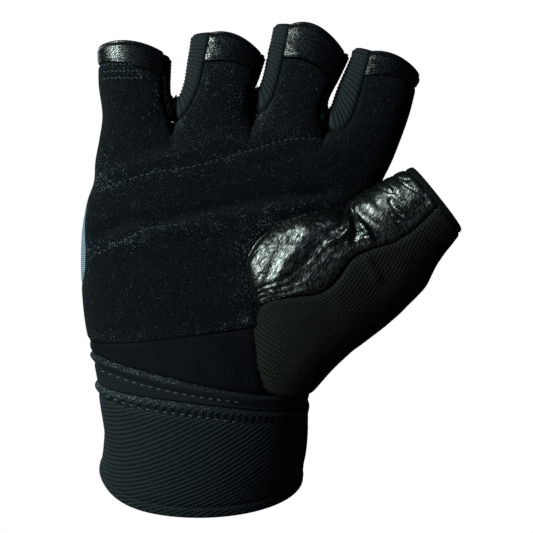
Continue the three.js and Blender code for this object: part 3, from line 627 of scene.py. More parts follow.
class Nodes:
    """The node tree of a material or a world, built up node by node."""

    def __init__(self, owner: bpy.types.Material | bpy.types.World) -> None:
        """Empties the owner's tree."""
        owner.use_nodes = True
        self.tree = owner.node_tree
        self.tree.nodes.clear()

    def add(self, kind: str, inputs: dict | None = None, out: str | int = 0, **settings: Any) -> Any:
        """Adds a node with its settings, and sets or links its inputs.

        Args:
            kind: The node's type without ShaderNode.
            inputs: Values or output sockets by the input's name or number.
            out: The output that is asked for.
            settings: The node's own settings.

        Returns:
            The output, or none where the node has none.
        """
        made = self.tree.nodes.new(f"ShaderNode{kind}")
        for name, value in settings.items():
            setattr(made, name, value)
        for name, value in (inputs or {}).items():
            if isinstance(value, bpy.types.NodeSocket):
                self.tree.links.new(value, made.inputs[name])
            else:
                made.inputs[name].default_value = value
        return made.outputs[out] if len(made.outputs) else None

    def maths(self, operation: str, *values: Any) -> Any:
        """Result of a Math node on numbers or sockets."""
        return self.add("Math", dict(enumerate(values)), operation=operation)

    def noise(self, vector: Any, scale: float, detail: float) -> Any:
        """Cloudy values about a half."""
        return self.add("TexNoise", {"Vector": vector, "Scale": scale, "Detail": detail}, "Fac")

    def contrast(self, value: Any, low: float, high: float) -> Any:
        """The value spread from low and high to 0 and 1."""
        return self.add("MapRange", {"Value": value, "From Min": low, "From Max": high}, clamp=True)

    def mapped(self, vector: Any, **inputs: tuple) -> Any:
        """The vector turned by Rotation or multiplied by Scale."""
        return self.add("Mapping", {"Vector": vector, **inputs})

    def blended(self, share: Any, first: Any, second: Any) -> Any:
        """Mix of two colours."""
        return self.add("Mix", {0: share, 6: first, 7: second}, 2, data_type="RGBA")

    def grain(self, vector: Any, valley: float) -> Any:
        """Leather's grain: rounded cells with narrow valleys between them."""
        inputs = {"Vector": vector, "Scale": 1.0, "Randomness": 1.0}
        edge = self.add("TexVoronoi", inputs, "Distance", feature="DISTANCE_TO_EDGE")
        return self.contrast(edge, 0.0, valley)

    def wave(self, vector: Any, axis: int, wobble: float = 0.0) -> Any:
        """Rounded ridges across one axis, 0 in the valleys and 1 on top, one for each unit."""
        place = self.add("SeparateXYZ", {0: vector}, axis)
        if wobble:
            place = self.maths("ADD", place, self.maths("MULTIPLY", self.noise(vector, 0.35, 1.0), wobble))
        sine = self.maths("SINE", self.maths("MULTIPLY", place, 2 * math.pi))
        return self.maths("MULTIPLY_ADD", sine, 0.5, 0.5)

    def white_to_camera(self, kind: str, other: Any) -> Any:
        """White of some kind where the camera looks, and another shader to all other rays."""
        white = self.add(kind, {"Color": (1, 1, 1, 1), "Strength": 1.0})
        return self.add("MixShader", {0: self.add("LightPath", out="Is Camera Ray"), 1: other, 2: white})


class Pattern(Enum):
    """How a finish's surface is made."""

    NAP = "nap"
    GRAIN = "grain"
    WRINKLES = "wrinkles"
    RIBS = "ribs"
    JERSEY = "jersey"
    LINES = "lines"
    NET = "net"
    TWILL = "twill"
    TAPE = "tape"


@dataclass(frozen=True)
class Finish:
    """A cloth or leather: its colours, gloss and the scale of its pattern.

    Attributes:
        name: The material's name.
        slot: Name of a material slot, which nothing reads.
        pattern: How its surface is made.
        deep: Colour of its hollows as sRGB hex.
        top: Colour of its high places.
        roughness: Roughness of its shine.
        specular: Specular level, 0.5 for a dense surface.
        pitch: Millimetres from one line, thread or grain to the next.
        relief: Depth of the pattern in millimetres.
        sheen: Weight of the fuzz's sheen.
        coat: Weight of a thin glossy dressing.
        glint_flecks: Colour of painted glints, single fibres shown catching the light, or none.
        strewn: How many of them lie where the cloth isn't worn.
    """

    name: str
    slot: str
    pattern: Pattern
    deep: str
    top: str
    roughness: float
    specular: float
    pitch: float
    relief: float
    sheen: float = 0.0
    coat: float = 0.0
    glint_flecks: str | None = None
    strewn: float = 0.0

    def build(self) -> bpy.types.Material:
        """Makes the material once, and returns it."""
        found = bpy.data.materials.get(self.name)
        if found:
            return found
        material = bpy.data.materials.new(self.name)
        nodes = Nodes(material)
        height = self.height(nodes)
        colour = nodes.blended(height, linear(self.deep), linear(self.top))
        specular, coat = self.specular, self.coat
        if self.pattern in (Pattern.WRINKLES, Pattern.GRAIN):
            gloss = nodes.maths("POWER", height, 1.5)
            specular, coat = (nodes.maths("MULTIPLY", gloss, value) for value in (specular, coat))
        surface = {
            "Base Color": self.glint_flecked(nodes, colour) if self.glint_flecks else colour,
            "Roughness": self.roughness,
            "Specular IOR Level": specular,
            "Sheen Weight": self.sheen,
            "Sheen Roughness": 0.45,
            "Coat Weight": coat,
            "Coat Roughness": 0.25,
            "Normal": nodes.add("Bump", {"Height": height, "Distance": self.relief * MM, "Strength": 1.0}),
        }
        nodes.add("OutputMaterial", {"Surface": nodes.add("BsdfPrincipled", surface)})
        return material

    def place(self, nodes: Nodes) -> Any:
        """Object coordinates in steps of the pattern's pitch."""
        step = 1 / (self.pitch * MM)
        return nodes.mapped(nodes.add("TexCoord", out="Object"), Scale=(step, step, step))

    def along(self, nodes: Nodes, turn: float = 0.0, stretch: tuple[float, float] = (1, 1)) -> Any:
        """The cloth's own coordinates in steps of the pitch, turned by some degrees."""
        source = nodes.add("UVMap", out="UV", uv_map="cloth")
        turned = nodes.mapped(source, Rotation=(0, 0, math.radians(turn)))
        step = UV_UNIT / self.pitch
        return nodes.mapped(turned, Scale=(stretch[0] * step, stretch[1] * step, 1))

    def slanted(self, nodes: Nodes, lean: float = 66.0, length: float = 5.5) -> Any:
        """Object coordinates leaned about the depth and drawn out along the lean."""
        source = nodes.add("TexCoord", out="Object")
        warp = nodes.add("TexNoise", {"Vector": source, "Scale": 60.0}, "Color")
        bend = {0: warp, 1: (4 * MM, 4 * MM, 4 * MM), 2: source}
        bent = nodes.add("VectorMath", bend, operation="MULTIPLY_ADD")
        turned = nodes.mapped(bent, Rotation=(0, math.radians(lean), 0))
        step = 1 / (self.pitch * MM)
        return nodes.mapped(turned, Scale=(step / length, 0.6 * step, step))

    def height(self, nodes: Nodes) -> Any:
        """Height of the pattern from 0 to 1, which also blends the two colours."""
        if self.pattern is Pattern.NAP:
            return nodes.contrast(nodes.noise(self.place(nodes), 1.0, 5.0), 0.3, 0.75)
        if self.pattern is Pattern.GRAIN:
            return nodes.grain(self.place(nodes), 0.22)
        if self.pattern is Pattern.WRINKLES:
            cells = nodes.grain(self.slanted(nodes), 0.26)
            fine = nodes.contrast(nodes.noise(self.place(nodes), 0.9, 3.0), 0.3, 0.6)
            return nodes.maths("MULTIPLY_ADD", fine, 0.3, nodes.maths("MULTIPLY", cells, 0.7))
        if self.pattern is Pattern.RIBS:
            rib = nodes.add("Attribute", out="Fac", attribute_name="rib")
            fuzz = nodes.noise(self.place(nodes), 2.2, 3.0)
            return nodes.maths("MULTIPLY", rib, nodes.contrast(fuzz, 0.1, 0.7))
        if self.pattern is Pattern.LINES:
            loops = nodes.wave(self.along(nodes, 0, (1.3, 1)), 0)
            lines = nodes.wave(self.along(nodes), 1)
            return nodes.maths("MULTIPLY", lines, nodes.contrast(loops, -0.6, 0.6))
        if self.pattern is Pattern.NET:
            place = self.along(nodes)
            threads = nodes.maths("MAXIMUM", nodes.wave(place, 0, 0.15), nodes.wave(place, 1, 0.15))
            return nodes.contrast(threads, 0.4, 0.85)
        if self.pattern is Pattern.TWILL:
            ribs = nodes.wave(self.along(nodes, -24), 1, 0.3)
            twist = nodes.wave(self.along(nodes, 58, (1, 1.5)), 1)
            return nodes.maths("MULTIPLY_ADD", twist, 0.35, nodes.maths("MULTIPLY", ribs, 0.65))
        scale = 1.0 if self.pattern is Pattern.JERSEY else 1.6
        return nodes.noise(self.place(nodes), scale, 4.0)

    def glint_flecked(self, nodes: Nodes, colour: Any) -> Any:
        """Adds painted glints, single fibres shown catching the light: small pale round spots in a few of
        the cells.
        """
        place = self.place(nodes)
        scale = self.pitch / FIBRE
        cells = {"Vector": place, "Scale": scale}
        near = nodes.contrast(nodes.add("TexVoronoi", cells, "Distance"), 0.5, 0.1)
        chance = nodes.add("SeparateColor", {0: nodes.add("TexVoronoi", cells, "Color")})
        # The worn mark places the painted glints: partly at rubbed places, partly on the lit left side
        worn = nodes.add("Attribute", out="Fac", attribute_name="worn")
        patchy = nodes.contrast(nodes.noise(place, 0.2 * scale, 1.0), 0.35, 0.7)
        spread = nodes.maths("MULTIPLY_ADD", worn, 0.66, nodes.maths("MULTIPLY", patchy, self.strewn))
        few = nodes.contrast(nodes.maths("ADD", chance, spread), 0.98, 1.3)
        return nodes.blended(nodes.maths("MULTIPLY", near, few), colour, linear(self.glint_flecks))


# Each finish's pattern and its two colours are followed by roughness, specular, pitch and relief

# Napped leather: a matt, fuzzy black with painted glints, single fibres shown pale as they catch the light
SUEDE = Finish(
    "suede_napped", "suede", Pattern.NAP, "010307", "0c1015", 0.95, 0.05, 0.5, 0.9,
    sheen=0.01, glint_flecks="7b868c", strewn=0.2,
)
# Smooth dressed leather: rounded grain cells under a soft shine
SMOOTH_LEATHER = Finish(
    "leather_smooth", "smooth_leather", Pattern.GRAIN, "030404", "080a0c", 0.27, 0.5, 0.8, 0.03, coat=0.25
)
# Thin dressed leather that is stretched and crumpled: long wrinkles under a shine
SHINY_LEATHER = Finish(
    "leather_wrinkled", "shiny_leather", Pattern.WRINKLES, "010202", "080b0c", 0.3, 0.8, 0.62, 0.055,
    coat=0.6,
)
# Rib knit: soft loops, each rib a dark valley and a lighter back
RIB_KNIT = Finish(
    "knit_ribbed", "rib_knit", Pattern.RIBS, "010202", "1b2126", 0.9, 0.1, 0.6, 0.15, sheen=0.02
)
# Smooth stretch jersey
BLACK_STRETCH = Finish(
    "jersey_black", "black_stretch", Pattern.JERSEY, "020306", "05070a", 0.85, 0.06, 0.5, 0.12
)
# Fine crosswise rib of a blue-grey stretch cloth
GREY_STRETCH = Finish(
    "stretch_grey", "grey_stretch", Pattern.LINES, "333d48", "6c7b8a", 0.8, 0.2, 0.72, 0.12
)
# Woven mesh: a square net of threads over darker holes
WOVEN_MESH = Finish("mesh_woven", "woven_mesh", Pattern.NET, "000000", "0c100b", 0.8, 0.1, 1.3, 0.45)
# Plain folded tape
BINDING = Finish("tape_plain", "binding", Pattern.TAPE, "020303", "050708", 0.85, 0.06, 0.5, 0.08)
# Elastic in a twill rib, with painted glints of fuzz along its lit rolled edge and hem
TWILL_ELASTIC = Finish(
    "elastic_twill", "twill_elastic", Pattern.TWILL, "020407", "181e23", 0.85, 0.1, 1.35, 0.3,
    glint_flecks="78848a",
)
# Polyester sewing thread
THREAD = Finish("thread_polyester", "binding", Pattern.TAPE, "171c1f", "343c40", 0.6, 0.3, 0.4, 0.04)
# Plain elastic, with painted glints of fuzz along the lit tops of the rolled hems
HEM_ELASTIC = Finish(
    "elastic_plain", "twill_elastic", Pattern.TAPE, "04060a", "0e1216", 0.9, 0.1, 0.6, 0.12, glint_flecks="78848a"
)


def make_piece(cloth: Cloth, name: str, finish: Finish, *nodes: str) -> bpy.types.Object:
    """Turns a cloth into a piece of the scene that rides on the root body.

    Args:
        cloth: Its faces, in millimetres.
        name: The piece's name.
        finish: Its material.
        nodes: The CAD nodes that it stands for.

    Returns:
        The object.
    """
    mesh = bpy.data.meshes.new(name)
    mesh.from_pydata((cloth.points * MM).tolist(), [], cloth.quads.tolist())
    mesh.polygons.foreach_set("use_smooth", np.ones(len(cloth.quads), bool))
    layer = mesh.uv_layers.new(name="cloth")
    layer.data.foreach_set("uv", (cloth.uv.reshape(-1, 2) / UV_UNIT).ravel().astype(np.float32))
    for mark, values in cloth.marks.items():
        mesh.attributes.new(mark, "FLOAT", "POINT").data.foreach_set("value", values.astype(np.float32))
    mesh.materials.append(finish.build())
    mesh.update()
    piece = bpy.data.objects.new(name, mesh)
    bpy.context.collection.objects.link(piece)
    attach(piece, "root")
    if nodes:
        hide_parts(*nodes)
    LOG.info("%s: %d faces", name, len(mesh.polygons))
    return piece


def make_sheet(
    name: str,
    node: str,
    cut: Cloth,
    wall: Cloth,
    finish: Finish,
    *rests_on: str,
    held: str = "stretched",
) -> None:
    """Makes a piece of the scene from the sheet's closed wall, in place of its CAD node.

    Args:
        name: The piece's name.
        node: The CAD node that it stands for.
        cut: Its outer face; not used.
        wall: Its closed wall.
        finish: Its material.
        rests_on: The nodes that it lies on; not used.
        held: How the cloth is held; not used.
    """
    piece = make_piece(wall, name, finish, node)


def arc_length(points: Array, axis: int) -> Array:
    """Running length in millimetres along one axis of a grid of points."""
    step = np.linalg.norm(np.diff(points, axis=axis), axis=-1)
    zero = np.zeros_like(np.take(step, [0], axis=axis))
    return np.concatenate([zero, np.cumsum(step, axis=axis)], axis=axis)


def steps(count: int) -> Array:
    """Even shares from 0 to 1."""
    return np.linspace(0, 1, count + 1)


@dataclass
class SurfaceLine:
    """A line over the palm as the palm's side shows it, in millimetres across and up."""

    places: tuple[tuple[float, float], ...]
    width: float = 1.0
    height: float = 0.0
    fade: float = 8.0

    def run(self, x: Array) -> Array:
        """Height of the line over places across."""
        across, up = np.array(self.places).T
        return read({"x": across, "z": up}, "x", np.clip(x, across[0], across[-1]), "z")

    def relief(self, x: Array, z: Array) -> Array:
        """A ridge or valley along the line, as a bell across it that fades at its ends."""
        across = np.array(self.places)[:, 0]
        ends = smooth((x - across[0]) / self.fade + 0.6) * smooth((across[-1] - x) / self.fade + 0.6)
        return self.height * bump(z - self.run(x), self.width) * ends

    def spots(self, pitch: float) -> Array:
        """Places along the line, a pitch apart."""
        across = np.array(self.places)[:, 0]
        x = np.linspace(across[0], across[-1], 400)
        z = self.run(x)
        run = np.concatenate([[0], np.cumsum(np.hypot(np.diff(x), np.diff(z)))])
        at = np.arange(pitch / 2, run[-1], pitch)
        return np.stack([np.interp(at, run, x), np.interp(at, run, z)], 1)


def to_line(x: Array, z: Array, *places: tuple[float, float]) -> Array:
    """Distance from places to a line of straight stretches, seen from the palm's side.

    Args:
        x: Places across.
        z: Places up.
        places: The line's corners.

    Returns:
        The distances.
    """
    least = np.full(np.broadcast(x, z).shape, np.inf)
    for (x0, z0), (x1, z1) in zip(places, places[1:]):
        dx, dz = x1 - x0, z1 - z0
        t = np.clip(((x - x0) * dx + (z - z0) * dz) / (dx * dx + dz * dz), 0, 1)
        least = np.minimum(least, np.hypot(x - x0 - t * dx, z - z0 - t * dz))
    return least


# Pads and creases of the palm from the crotches down, then its two sewn lines
PALM_RELIEF = (
    SurfaceLine(
        ((-33, 111), (-27.2, 113.7), (-10.4, 118), (6.7, 122.6), (23.4, 125.8), (44, 129)), 3.0, 0.7
    ),
    SurfaceLine(((-33, 117), (-20, 119.5), (-8, 122.5)), 2.8, -0.8),
    SurfaceLine(
        ((-36, 91), (-27.2, 94.2), (-10.4, 96.1), (9.1, 100.6), (23.4, 102.7), (47.9, 105.9)), 2.6, -1.6
    ),
    SurfaceLine(((-25, 87), (-10.4, 91.6), (5.2, 94.8), (23.4, 98), (40, 100.5)), 3.0, 0.9),
)
PALM_SEAMS = (
    SurfaceLine(
        ((-33, 107.5), (-15.4, 112.3), (-1.9, 114.4), (15.2, 119.1), (33.7, 124.1), (44, 124.5)), 0.9, -0.4
    ),
    SurfaceLine(((-36, 83.2), (-27.2, 87.7), (-18.3, 92.2), (-6.5, 94.0)), 0.9, -0.35),
)
WRAP_SEAMS = (
    SurfaceLine(((-35.9, 41.9), (-23.3, 37.9), (-2.8, 33.4), (16, 30.8))),
    SurfaceLine(((-34, 32.9), (-21.1, 28.9), (-6.9, 26.9), (14, 23.8))),
)
HEM_SEAMS = tuple(SurfaceLine(((-34.6, z), (-28, z - 0.1), (-19, z - 0.2))) for z in (151.4, 148.9, 146.4))
THUMB_SEAMS = (
    SurfaceLine(((22.5, 90.2), (30, 94.4), (44, 98.6))),
    SurfaceLine(((22, 66.2), (34, 70.2), (43.6, 77.5), (48.6, 86))),
    SurfaceLine(((24, 69), (34, 73), (41.6, 79.4), (46, 86))),
)


@dataclass
class Stitches:
    """Rows of stitches, each a thread's short arch that dips into the cloth at both ends."""

    name: str
    length: float = 2.0
    radius: float = 0.26
    rise: float = 0.28
    rows: list[tuple[Array, Array, Array]] = field(default_factory=list)

    def along(self, cloth: Cloth, spots: Array, slant: float) -> None:
        """Lays a stitch on the cloth at each spot.

        Args:
            cloth: The cloth's outer face.
            spots: Places across and up.
            slant: Degrees that each stitch is turned from its row, one way and back in turn.
        """
        which = nearest(spots, cloth.points[:, ::2], np.inf)[1]
        normal = cloth.normals()[which]
        centre = cloth.points[which].copy()
        centre[:, ::2] = spots
        centre += normal * ((cloth.points[which] - centre) * normal).sum(1, keepdims=True)
        run = np.gradient(centre, axis=0)
        run -= normal * (run * normal).sum(1, keepdims=True)
        run /= np.linalg.norm(run, axis=1, keepdims=True)
        side = np.cross(normal, run)
        angle = np.radians(slant) * np.where(np.arange(len(run)) % 2, 1, -1)[:, None]
        self.rows.append((centre, normal, run * np.cos(angle) + side * np.sin(angle)))

    def cloth(self) -> Cloth:
        """All stitches as one cloth: rings of six points round an arch, closed to a point."""
        centre, normal, run = (np.concatenate(part) for part in zip(*self.rows))
        side = np.cross(normal, run)
        share = np.array([0.0, 0.12, 0.5, 0.88, 1.0])
        girth = np.array([0.15, 0.85, 1.0, 0.85, 0.15]) * self.radius
        lift = self.rise * (1 - (2 * share - 1) ** 2) - 0.4 * self.rise
        turn = np.arange(6) / 6 * 2 * math.pi
        spine = (share - 0.5) * self.length
        across = (girth[:, None] * np.cos(turn))[None, :, :, None]
        up = (girth[:, None] * np.sin(turn) + lift[:, None])[None, :, :, None]
        forth = np.broadcast_to(spine[:, None], (5, 6))[None, :, :, None]
        shape = (slice(None), None, None, slice(None))
        points = centre[shape] + run[shape] * forth + side[shape] * across + normal[shape] * up
        count = len(centre)
        ring = np.arange(6)
        a = np.arange(4)[:, None] * 6 + ring
        b = np.arange(4)[:, None] * 6 + (ring + 1) % 6
        one = np.stack([a, b, b + 6, a + 6], -1).reshape(-1, 4)
        quads = (one[None] + np.arange(count)[:, None, None] * 30).reshape(-1, 4)
        return Cloth(points.reshape(-1, 3), quads[:, ::-1], np.zeros((len(quads), 4, 2)))

    def build(self) -> None:
        """Makes the piece."""
        make_piece(self.cloth(), self.name, THREAD)


def front_of(cloth: Cloth) -> Cloth:
    """The faces of a cloth that look to the palm's side."""
    return cloth.kept((cloth.normals()[:, 1][cloth.quads] < -0.05).all(1))


@dataclass
class Hand:
    """Palm, finger backs and back of the hand."""

    form: GloveForm
    finger_columns: int = 36
    trunk_rows: int = 104
    finger_rows: int = 56
    suede: float = 2.0
    knit: float = 1.2
    hem_from: float = 0.775
    seam_depth: float = 0.7
    seam_width: float = 1.1

    def sheet(self, front: bool, low: tuple, high: tuple | None, rows: int, share: float) -> Cloth:
        """One side of the hand: the part below the slits, and the fingers up to a share.

        Below the slits, a row's places run between a low line and the crown that the finger
        borders make, and the turn round the oval blends from even steps to the crown's turns.

        Args:
            front: The palm's side.
            low: Heights of the low line.
            high: Heights of the high line, or none if the sheet reaches the fingers.
            rows: Rows below the slits.
            share: Share of the fingers' length that is covered.

        Returns:
            The outer face.
        """
        form, sign = self.form, 1 if front else -1
        columns = 4 * self.finger_columns
        every = np.arange(columns + 1) / columns
        finger = np.minimum(3, (every * 4).astype(int))
        place = np.where(every == 1, 1.0, every * 4 - finger)
        side = sign * form.right_seam + form.seam_gap
        plain = -np.cos(np.radians(mix(side, 180 - side, every)))
        start = form.line(low, plain)
        outer = sign * form.crown_turn + form.seam_gap
        crown_x, crown_z, crown_flip = (np.zeros(columns + 1) for _ in range(3))
        for i in range(4):
            mine = finger == i
            x, z, flip = form.finger_place(i, place[mine], np.zeros(mine.sum()), outer)
            crown_x[mine], crown_z[mine], crown_flip[mine] = x, z, flip
        t = steps(rows)[:, None]
        end = crown_z if high is None else form.line(high, plain)
        z = mix(start, end, t)
        left = sign * read(form.left_seam, "z", z, "turn") + form.seam_gap
        turn = mix(side, 180 - side, every) + (left - side) * (1 - smooth(every / 0.3))
        if not front:
            # The palm's right border leaves its seam on the way up, so the back follows it
            foot = form.line(form.suede_low, plain)[-1]
            risen = smooth((z[:, -1:] - foot) / (crown_z[-1] - foot))
            right = sign * mix(form.right_seam, form.crown_turn, risen) + form.seam_gap
            turn = turn - (right - side) * smooth((every - 0.7) / 0.3)
        if high is None:
            near, far = form.trunk(crown_z)[:2]
            bare = np.degrees(np.arccos(np.clip(-(2 * crown_x - near - far) / (far - near), -1, 1)))
            bare = np.where(crown_flip > 0, np.where(every < 0.5, -bare, 360 - bare), bare)
            turn = mix(turn, bare, smooth(t))
        near, far = form.trunk(z)[:2]
        x = (near + far) / 2 - (far - near) / 2 * np.cos(np.radians(turn))
        flip = np.sin(np.radians(turn)) < 0
        if high is None:
            x[-1], z[-1], flip[-1] = crown_x, crown_z, crown_flip > 0
        parts = [self.patch(x, z, flip, front)]
        if high is None:
            s = steps(self.finger_columns)
            up = (steps(self.finger_rows) * share)[:, None]
            for i in range(4):
                parts.append(self.patch(*form.finger_place(i, s, up, outer), front))
        return Cloth.joined(parts, 0.02)

    def patch(self, x: Array, z: Array, flip: Array, front: bool) -> Cloth:
        """A grid of places as cloth, with its pattern laid across and up."""
        points = self.form.face_point(x, z, flip, front)
        across = arc_length(points, 1)
        middle = across[:, across.shape[1] // 2][:, None]
        u = across - middle + x[:, x.shape[1] // 2][:, None]
        return Cloth.grid(points, u, points[..., 2], flip=not front)

    def sewn(self, cloth: Cloth, thumb: Thumb, depth: float | None = None) -> Cloth:
        """Draws the cloth in along its rim and where it meets the thumb, and trims it there."""
        depth = self.seam_depth if depth is None else depth
        out = thumb.outside(cloth.points)
        fall = np.maximum(bump(cloth.to_rim(), self.seam_width), bump(np.maximum(out, 0), 1.3))
        cloth = cloth.pushed(-depth * fall)
        return cloth.kept((out[cloth.quads] > -1.4).any(1))

    def palm(self, thumb: Thumb) -> Cloth:
        """Suede palm with the fronts of the fingers, its pads, creases and sewn lines."""
        cloth = self.sheet(True, self.form.suede_low, None, self.trunk_rows, self.hem_from)
        x, z = cloth.places
        inner = smooth((cloth.to_rim() - 1) / 6) * smooth((cloth.normals()[:, 1] + 0.05) / -0.35)
        height = sum(line.relief(x, z) for line in PALM_RELIEF) * inner
        height += sum(line.relief(x, z) for line in PALM_SEAMS) * inner
        height += 0.35 * hills(x / 11, z / 8, 3, 2) * inner
        height += 0.12 * creases(x / 6, z / 3.2, 5) * inner
        cloth = self.sewn(cloth.pushed(height), thumb)
        cloth.marks["worn"] = self.worn(cloth, thumb)
        return cloth

    def worn(self, cloth: Cloth, thumb: Thumb) -> Array:
        """Where the nap is rubbed and pale, 0 to 1: crotches, ridges, seams and borders, and where painted
        glints lie, more on the lit left side and fading out to the right.
        """
        x, z = cloth.places
        lines = PALM_SEAMS + (PALM_RELIEF[0], PALM_RELIEF[3])
        mark = sum(0.4 * bump(z - line.run(x), 2.2) for line in lines)
        for slit in self.form.slits:
            low = int(np.argmin(slit["seam_z"]))
            mark += 0.8 * bump(np.hypot(x - slit["seam_x"][low], z - slit["seam_z"][low] - 3), 7.5)
        mark += 0.35 * bump(cloth.to_rim() - 2.2, 2.0)
        mark += 0.45 * bump(thumb.outside(cloth.points) - 3.0, 2.6)
        # A patch at the left border, on the side where the key light falls, for painted glints
        mark += 0.4 * bump(np.hypot((x + 35) / 1.3, (z - 110) / 4), 3.0)
        patches = 0.55 + 0.6 * hills(x / 3.4, z / 3.4, 17, 2)
        # Painted light: the mark fades out towards the right, away from the key light
        return np.clip(mark * np.clip(patches, 0, 1), 0, 1) * smooth((60 - x) / 50)

    def build(self, thumb: Thumb) -> Cloth:
        """Makes the hand's panels and returns the palm's outer face."""
        form = self.form
        palm = self.palm(thumb)
        cover = "hand_back_panel", "finger_back_panel"
        make_sheet("palm_suede", "palm_panel", palm, palm.thick(self.suede), SUEDE, *cover)
        back = self.sewn(self.sheet(False, form.suede_low, form.knuckle, 70, 0), thumb, 0.4)
        wall = back.thick(self.knit)
        make_sheet("back_stretch", "hand_back_panel", back, wall, GREY_STRETCH, "palm_panel")
        low = tuple(height + 0.5 for height in form.knuckle)
        self.finger_rows = 64
        fingers = self.sewn(self.sheet(False, low, None, 24, 1.0), thumb, 0.4)
        wall = fingers.thick(self.knit)
        make_sheet("finger_backs", "finger_back_panel", fingers, wall, BLACK_STRETCH, "palm_panel")
        return palm


@dataclass
class FingerHems:
    """Leather bands over the fingertips' fronts, with a rolled upper edge."""

    form: GloveForm
    columns: int = 56
    start: float = 0.79
    proud: float = 0.4
    wall: float = 2.0
    high: float = 11.0
    names: tuple[str, ...] = ("little", "ring", "middle", "index")

    def band(self, finger: int) -> Cloth:
        """A closed band: its profile runs up the outer face, round the roll and down inside.

        Args:
            finger: Which finger.

        Returns:
            The band.
        """
        form = self.form
        outer = form.crown_turn + form.seam_gap
        s = mix(0.004, 0.996, steps(self.columns))
        share = np.linspace(self.start, 1.0, 15)[:, None]
        face = form.face_point(*form.finger_place(finger, s, share, outer), True)
        base = Cloth.grid(face, s, share)
        normal = base.normals().reshape(face.shape)
        rise = np.gradient(face, axis=0)
        rise /= np.linalg.norm(rise, axis=-1, keepdims=True)
        up = arc_length(face, 0)
        high = up[-1]
        radius = self.wall / 2
        edge = bump(up, 0.5) + bump(high - up, 0.9)
        fold = 0.22 * hills(s * 8, up / 2, 20 + finger, 2) - 0.25 * creases(s * 9 + 3, up / 1.6, 40 + finger)
        pull = self.proud + 0.25 * bump(high - up - 1.2, 1.0) - 0.5 * edge + 0.35 * fold
        outside = face + normal * pull[..., None]
        angle = np.radians(np.linspace(20, 160, 7))[:, None, None]
        centre = face[-1] - normal[-1] * (radius - 0.2)
        roll = centre + normal[-1] * radius * np.cos(angle) + rise[-1] * radius * 0.85 * np.sin(angle)
        inside = (face - normal * (self.wall - 0.2))[::-1]
        low = np.radians(np.linspace(-160, -20, 5))[:, None, None]
        foot = face[0] - normal[0] * (radius - 0.2)
        foot = foot + normal[0] * radius * np.cos(low) + rise[0] * radius * 0.3 * np.sin(low)
        loop = np.concatenate([outside, roll, inside[:-1], foot, outside[:1]])
        run = arc_length(face, 1)[0]
        closed = Cloth.grid(loop, run, arc_length(loop, 0))
        caps = [self.cap(loop[:-1, 0], False), self.cap(loop[:-1, -1], True)]
        return Cloth.joined([closed, *caps])

    @staticmethod
    def cap(ring: Array, flip: bool) -> Cloth:
        """Closes an end of a band: faces from the ring to its middle, as thin quads."""
        middle = ring.mean(0)
        loop = np.concatenate([ring, ring[:1]])
        inner = mix(middle, loop, 0.12)
        grid = np.stack([loop, inner, np.broadcast_to(middle, loop.shape)])
        return Cloth.grid(grid, 0.0, np.zeros(grid.shape[:2]), flip=flip)

    def build(self) -> None:
        """Makes the four bands."""
        for finger, name in enumerate(self.names):
            band = self.band(finger)
            outer = band.kept(band.uv[:, :, 1].max(1) < self.high)
            make_sheet(f"hem_{name}", f"finger_hem_{name}", outer, band, SMOOTH_LEATHER, "palm_panel")


@dataclass
class Fourchettes:
    """Rib-knit strips round the gaps between the fingers."""

    form: GloveForm
    rows: int = 300
    columns: int = 18
    pitch: float = 1.3
    rib: float = 0.5
    lift: float = 1.3
    wall: float = 1.2
    turn: float = 52.0
    names: tuple[str, ...] = ("little_ring", "ring_middle", "middle_index")

    def strip(self, slit: int) -> Cloth:
        """One strip: rows along the slit, columns from the front seam over the crest to the back.

        Across the strip the line between the seams bulges to the crest like an arc, and the
        ribs are half waves of the length along the strip's middle, with sharp valleys.

        Args:
            slit: Which gap.

        Returns:
            The strip's face towards the gap.
        """
        form = self.form
        half = self.rows // 2
        share = steps(half) ** 1.2
        parts = []
        for right, order in ((False, share[::-1]), (True, share[1:])):
            parts.append([*form.slit(slit, order, right), *form.slit(slit, order, right, "crest")])
        seam_x, seam_z, crest_x, crest_z = (np.concatenate(pair)[:, None] for pair in zip(*parts))
        cos, sin = cos_sin(mix(-self.turn, self.turn, steps(self.columns)))
        least, most = cos_sin(self.turn)
        rise = (cos - least) / (1 - least)
        part = (1 + sin / most) / 2
        front = form.face_height(seam_x, seam_z, True)
        back = form.face_height(seam_x, seam_z, False)
        points = form.lean(
            mix(seam_x, crest_x, rise), mix(-front, back, part), mix(seam_z, crest_z, rise)
        )
        tops = np.concatenate([0 * share[::-1], smooth((share[1:] - 0.88) / 0.12)])[:, None]
        points[..., 2] += self.lift * tops * cos
        run = arc_length(points, 0)
        middle = run[:, self.columns // 2][:, None]
        length = middle[-1, 0]
        wave = np.abs(np.cos(math.pi * middle / length * round(length / self.pitch))) ** 0.7
        across = arc_length(points, 1)
        cloth = Cloth.grid(points, across, middle + 0 * across, rib=wave + 0 * across)
        if (cloth.normals()[:, 2] > 0).mean() < 0.5:
            cloth = cloth.reversed()
        fade = smooth(cloth.to_rim() / 1.2)
        height = self.rib * (cloth.marks["rib"] - 0.35) * fade - 0.5 * bump(cloth.to_rim(), 0.7)
        cloth.marks["rib"] = cloth.marks["rib"] * fade
        return cloth.pushed(height)

    def build(self) -> None:
        """Makes the three strips."""
        for slit, name in enumerate(self.names):
            strip = self.strip(slit)
            wall, node = strip.thick(self.wall), f"fourchette_{name}"
            make_sheet(f"strip_{name}", node, strip, wall, RIB_KNIT, "palm_panel", "finger_back_panel")


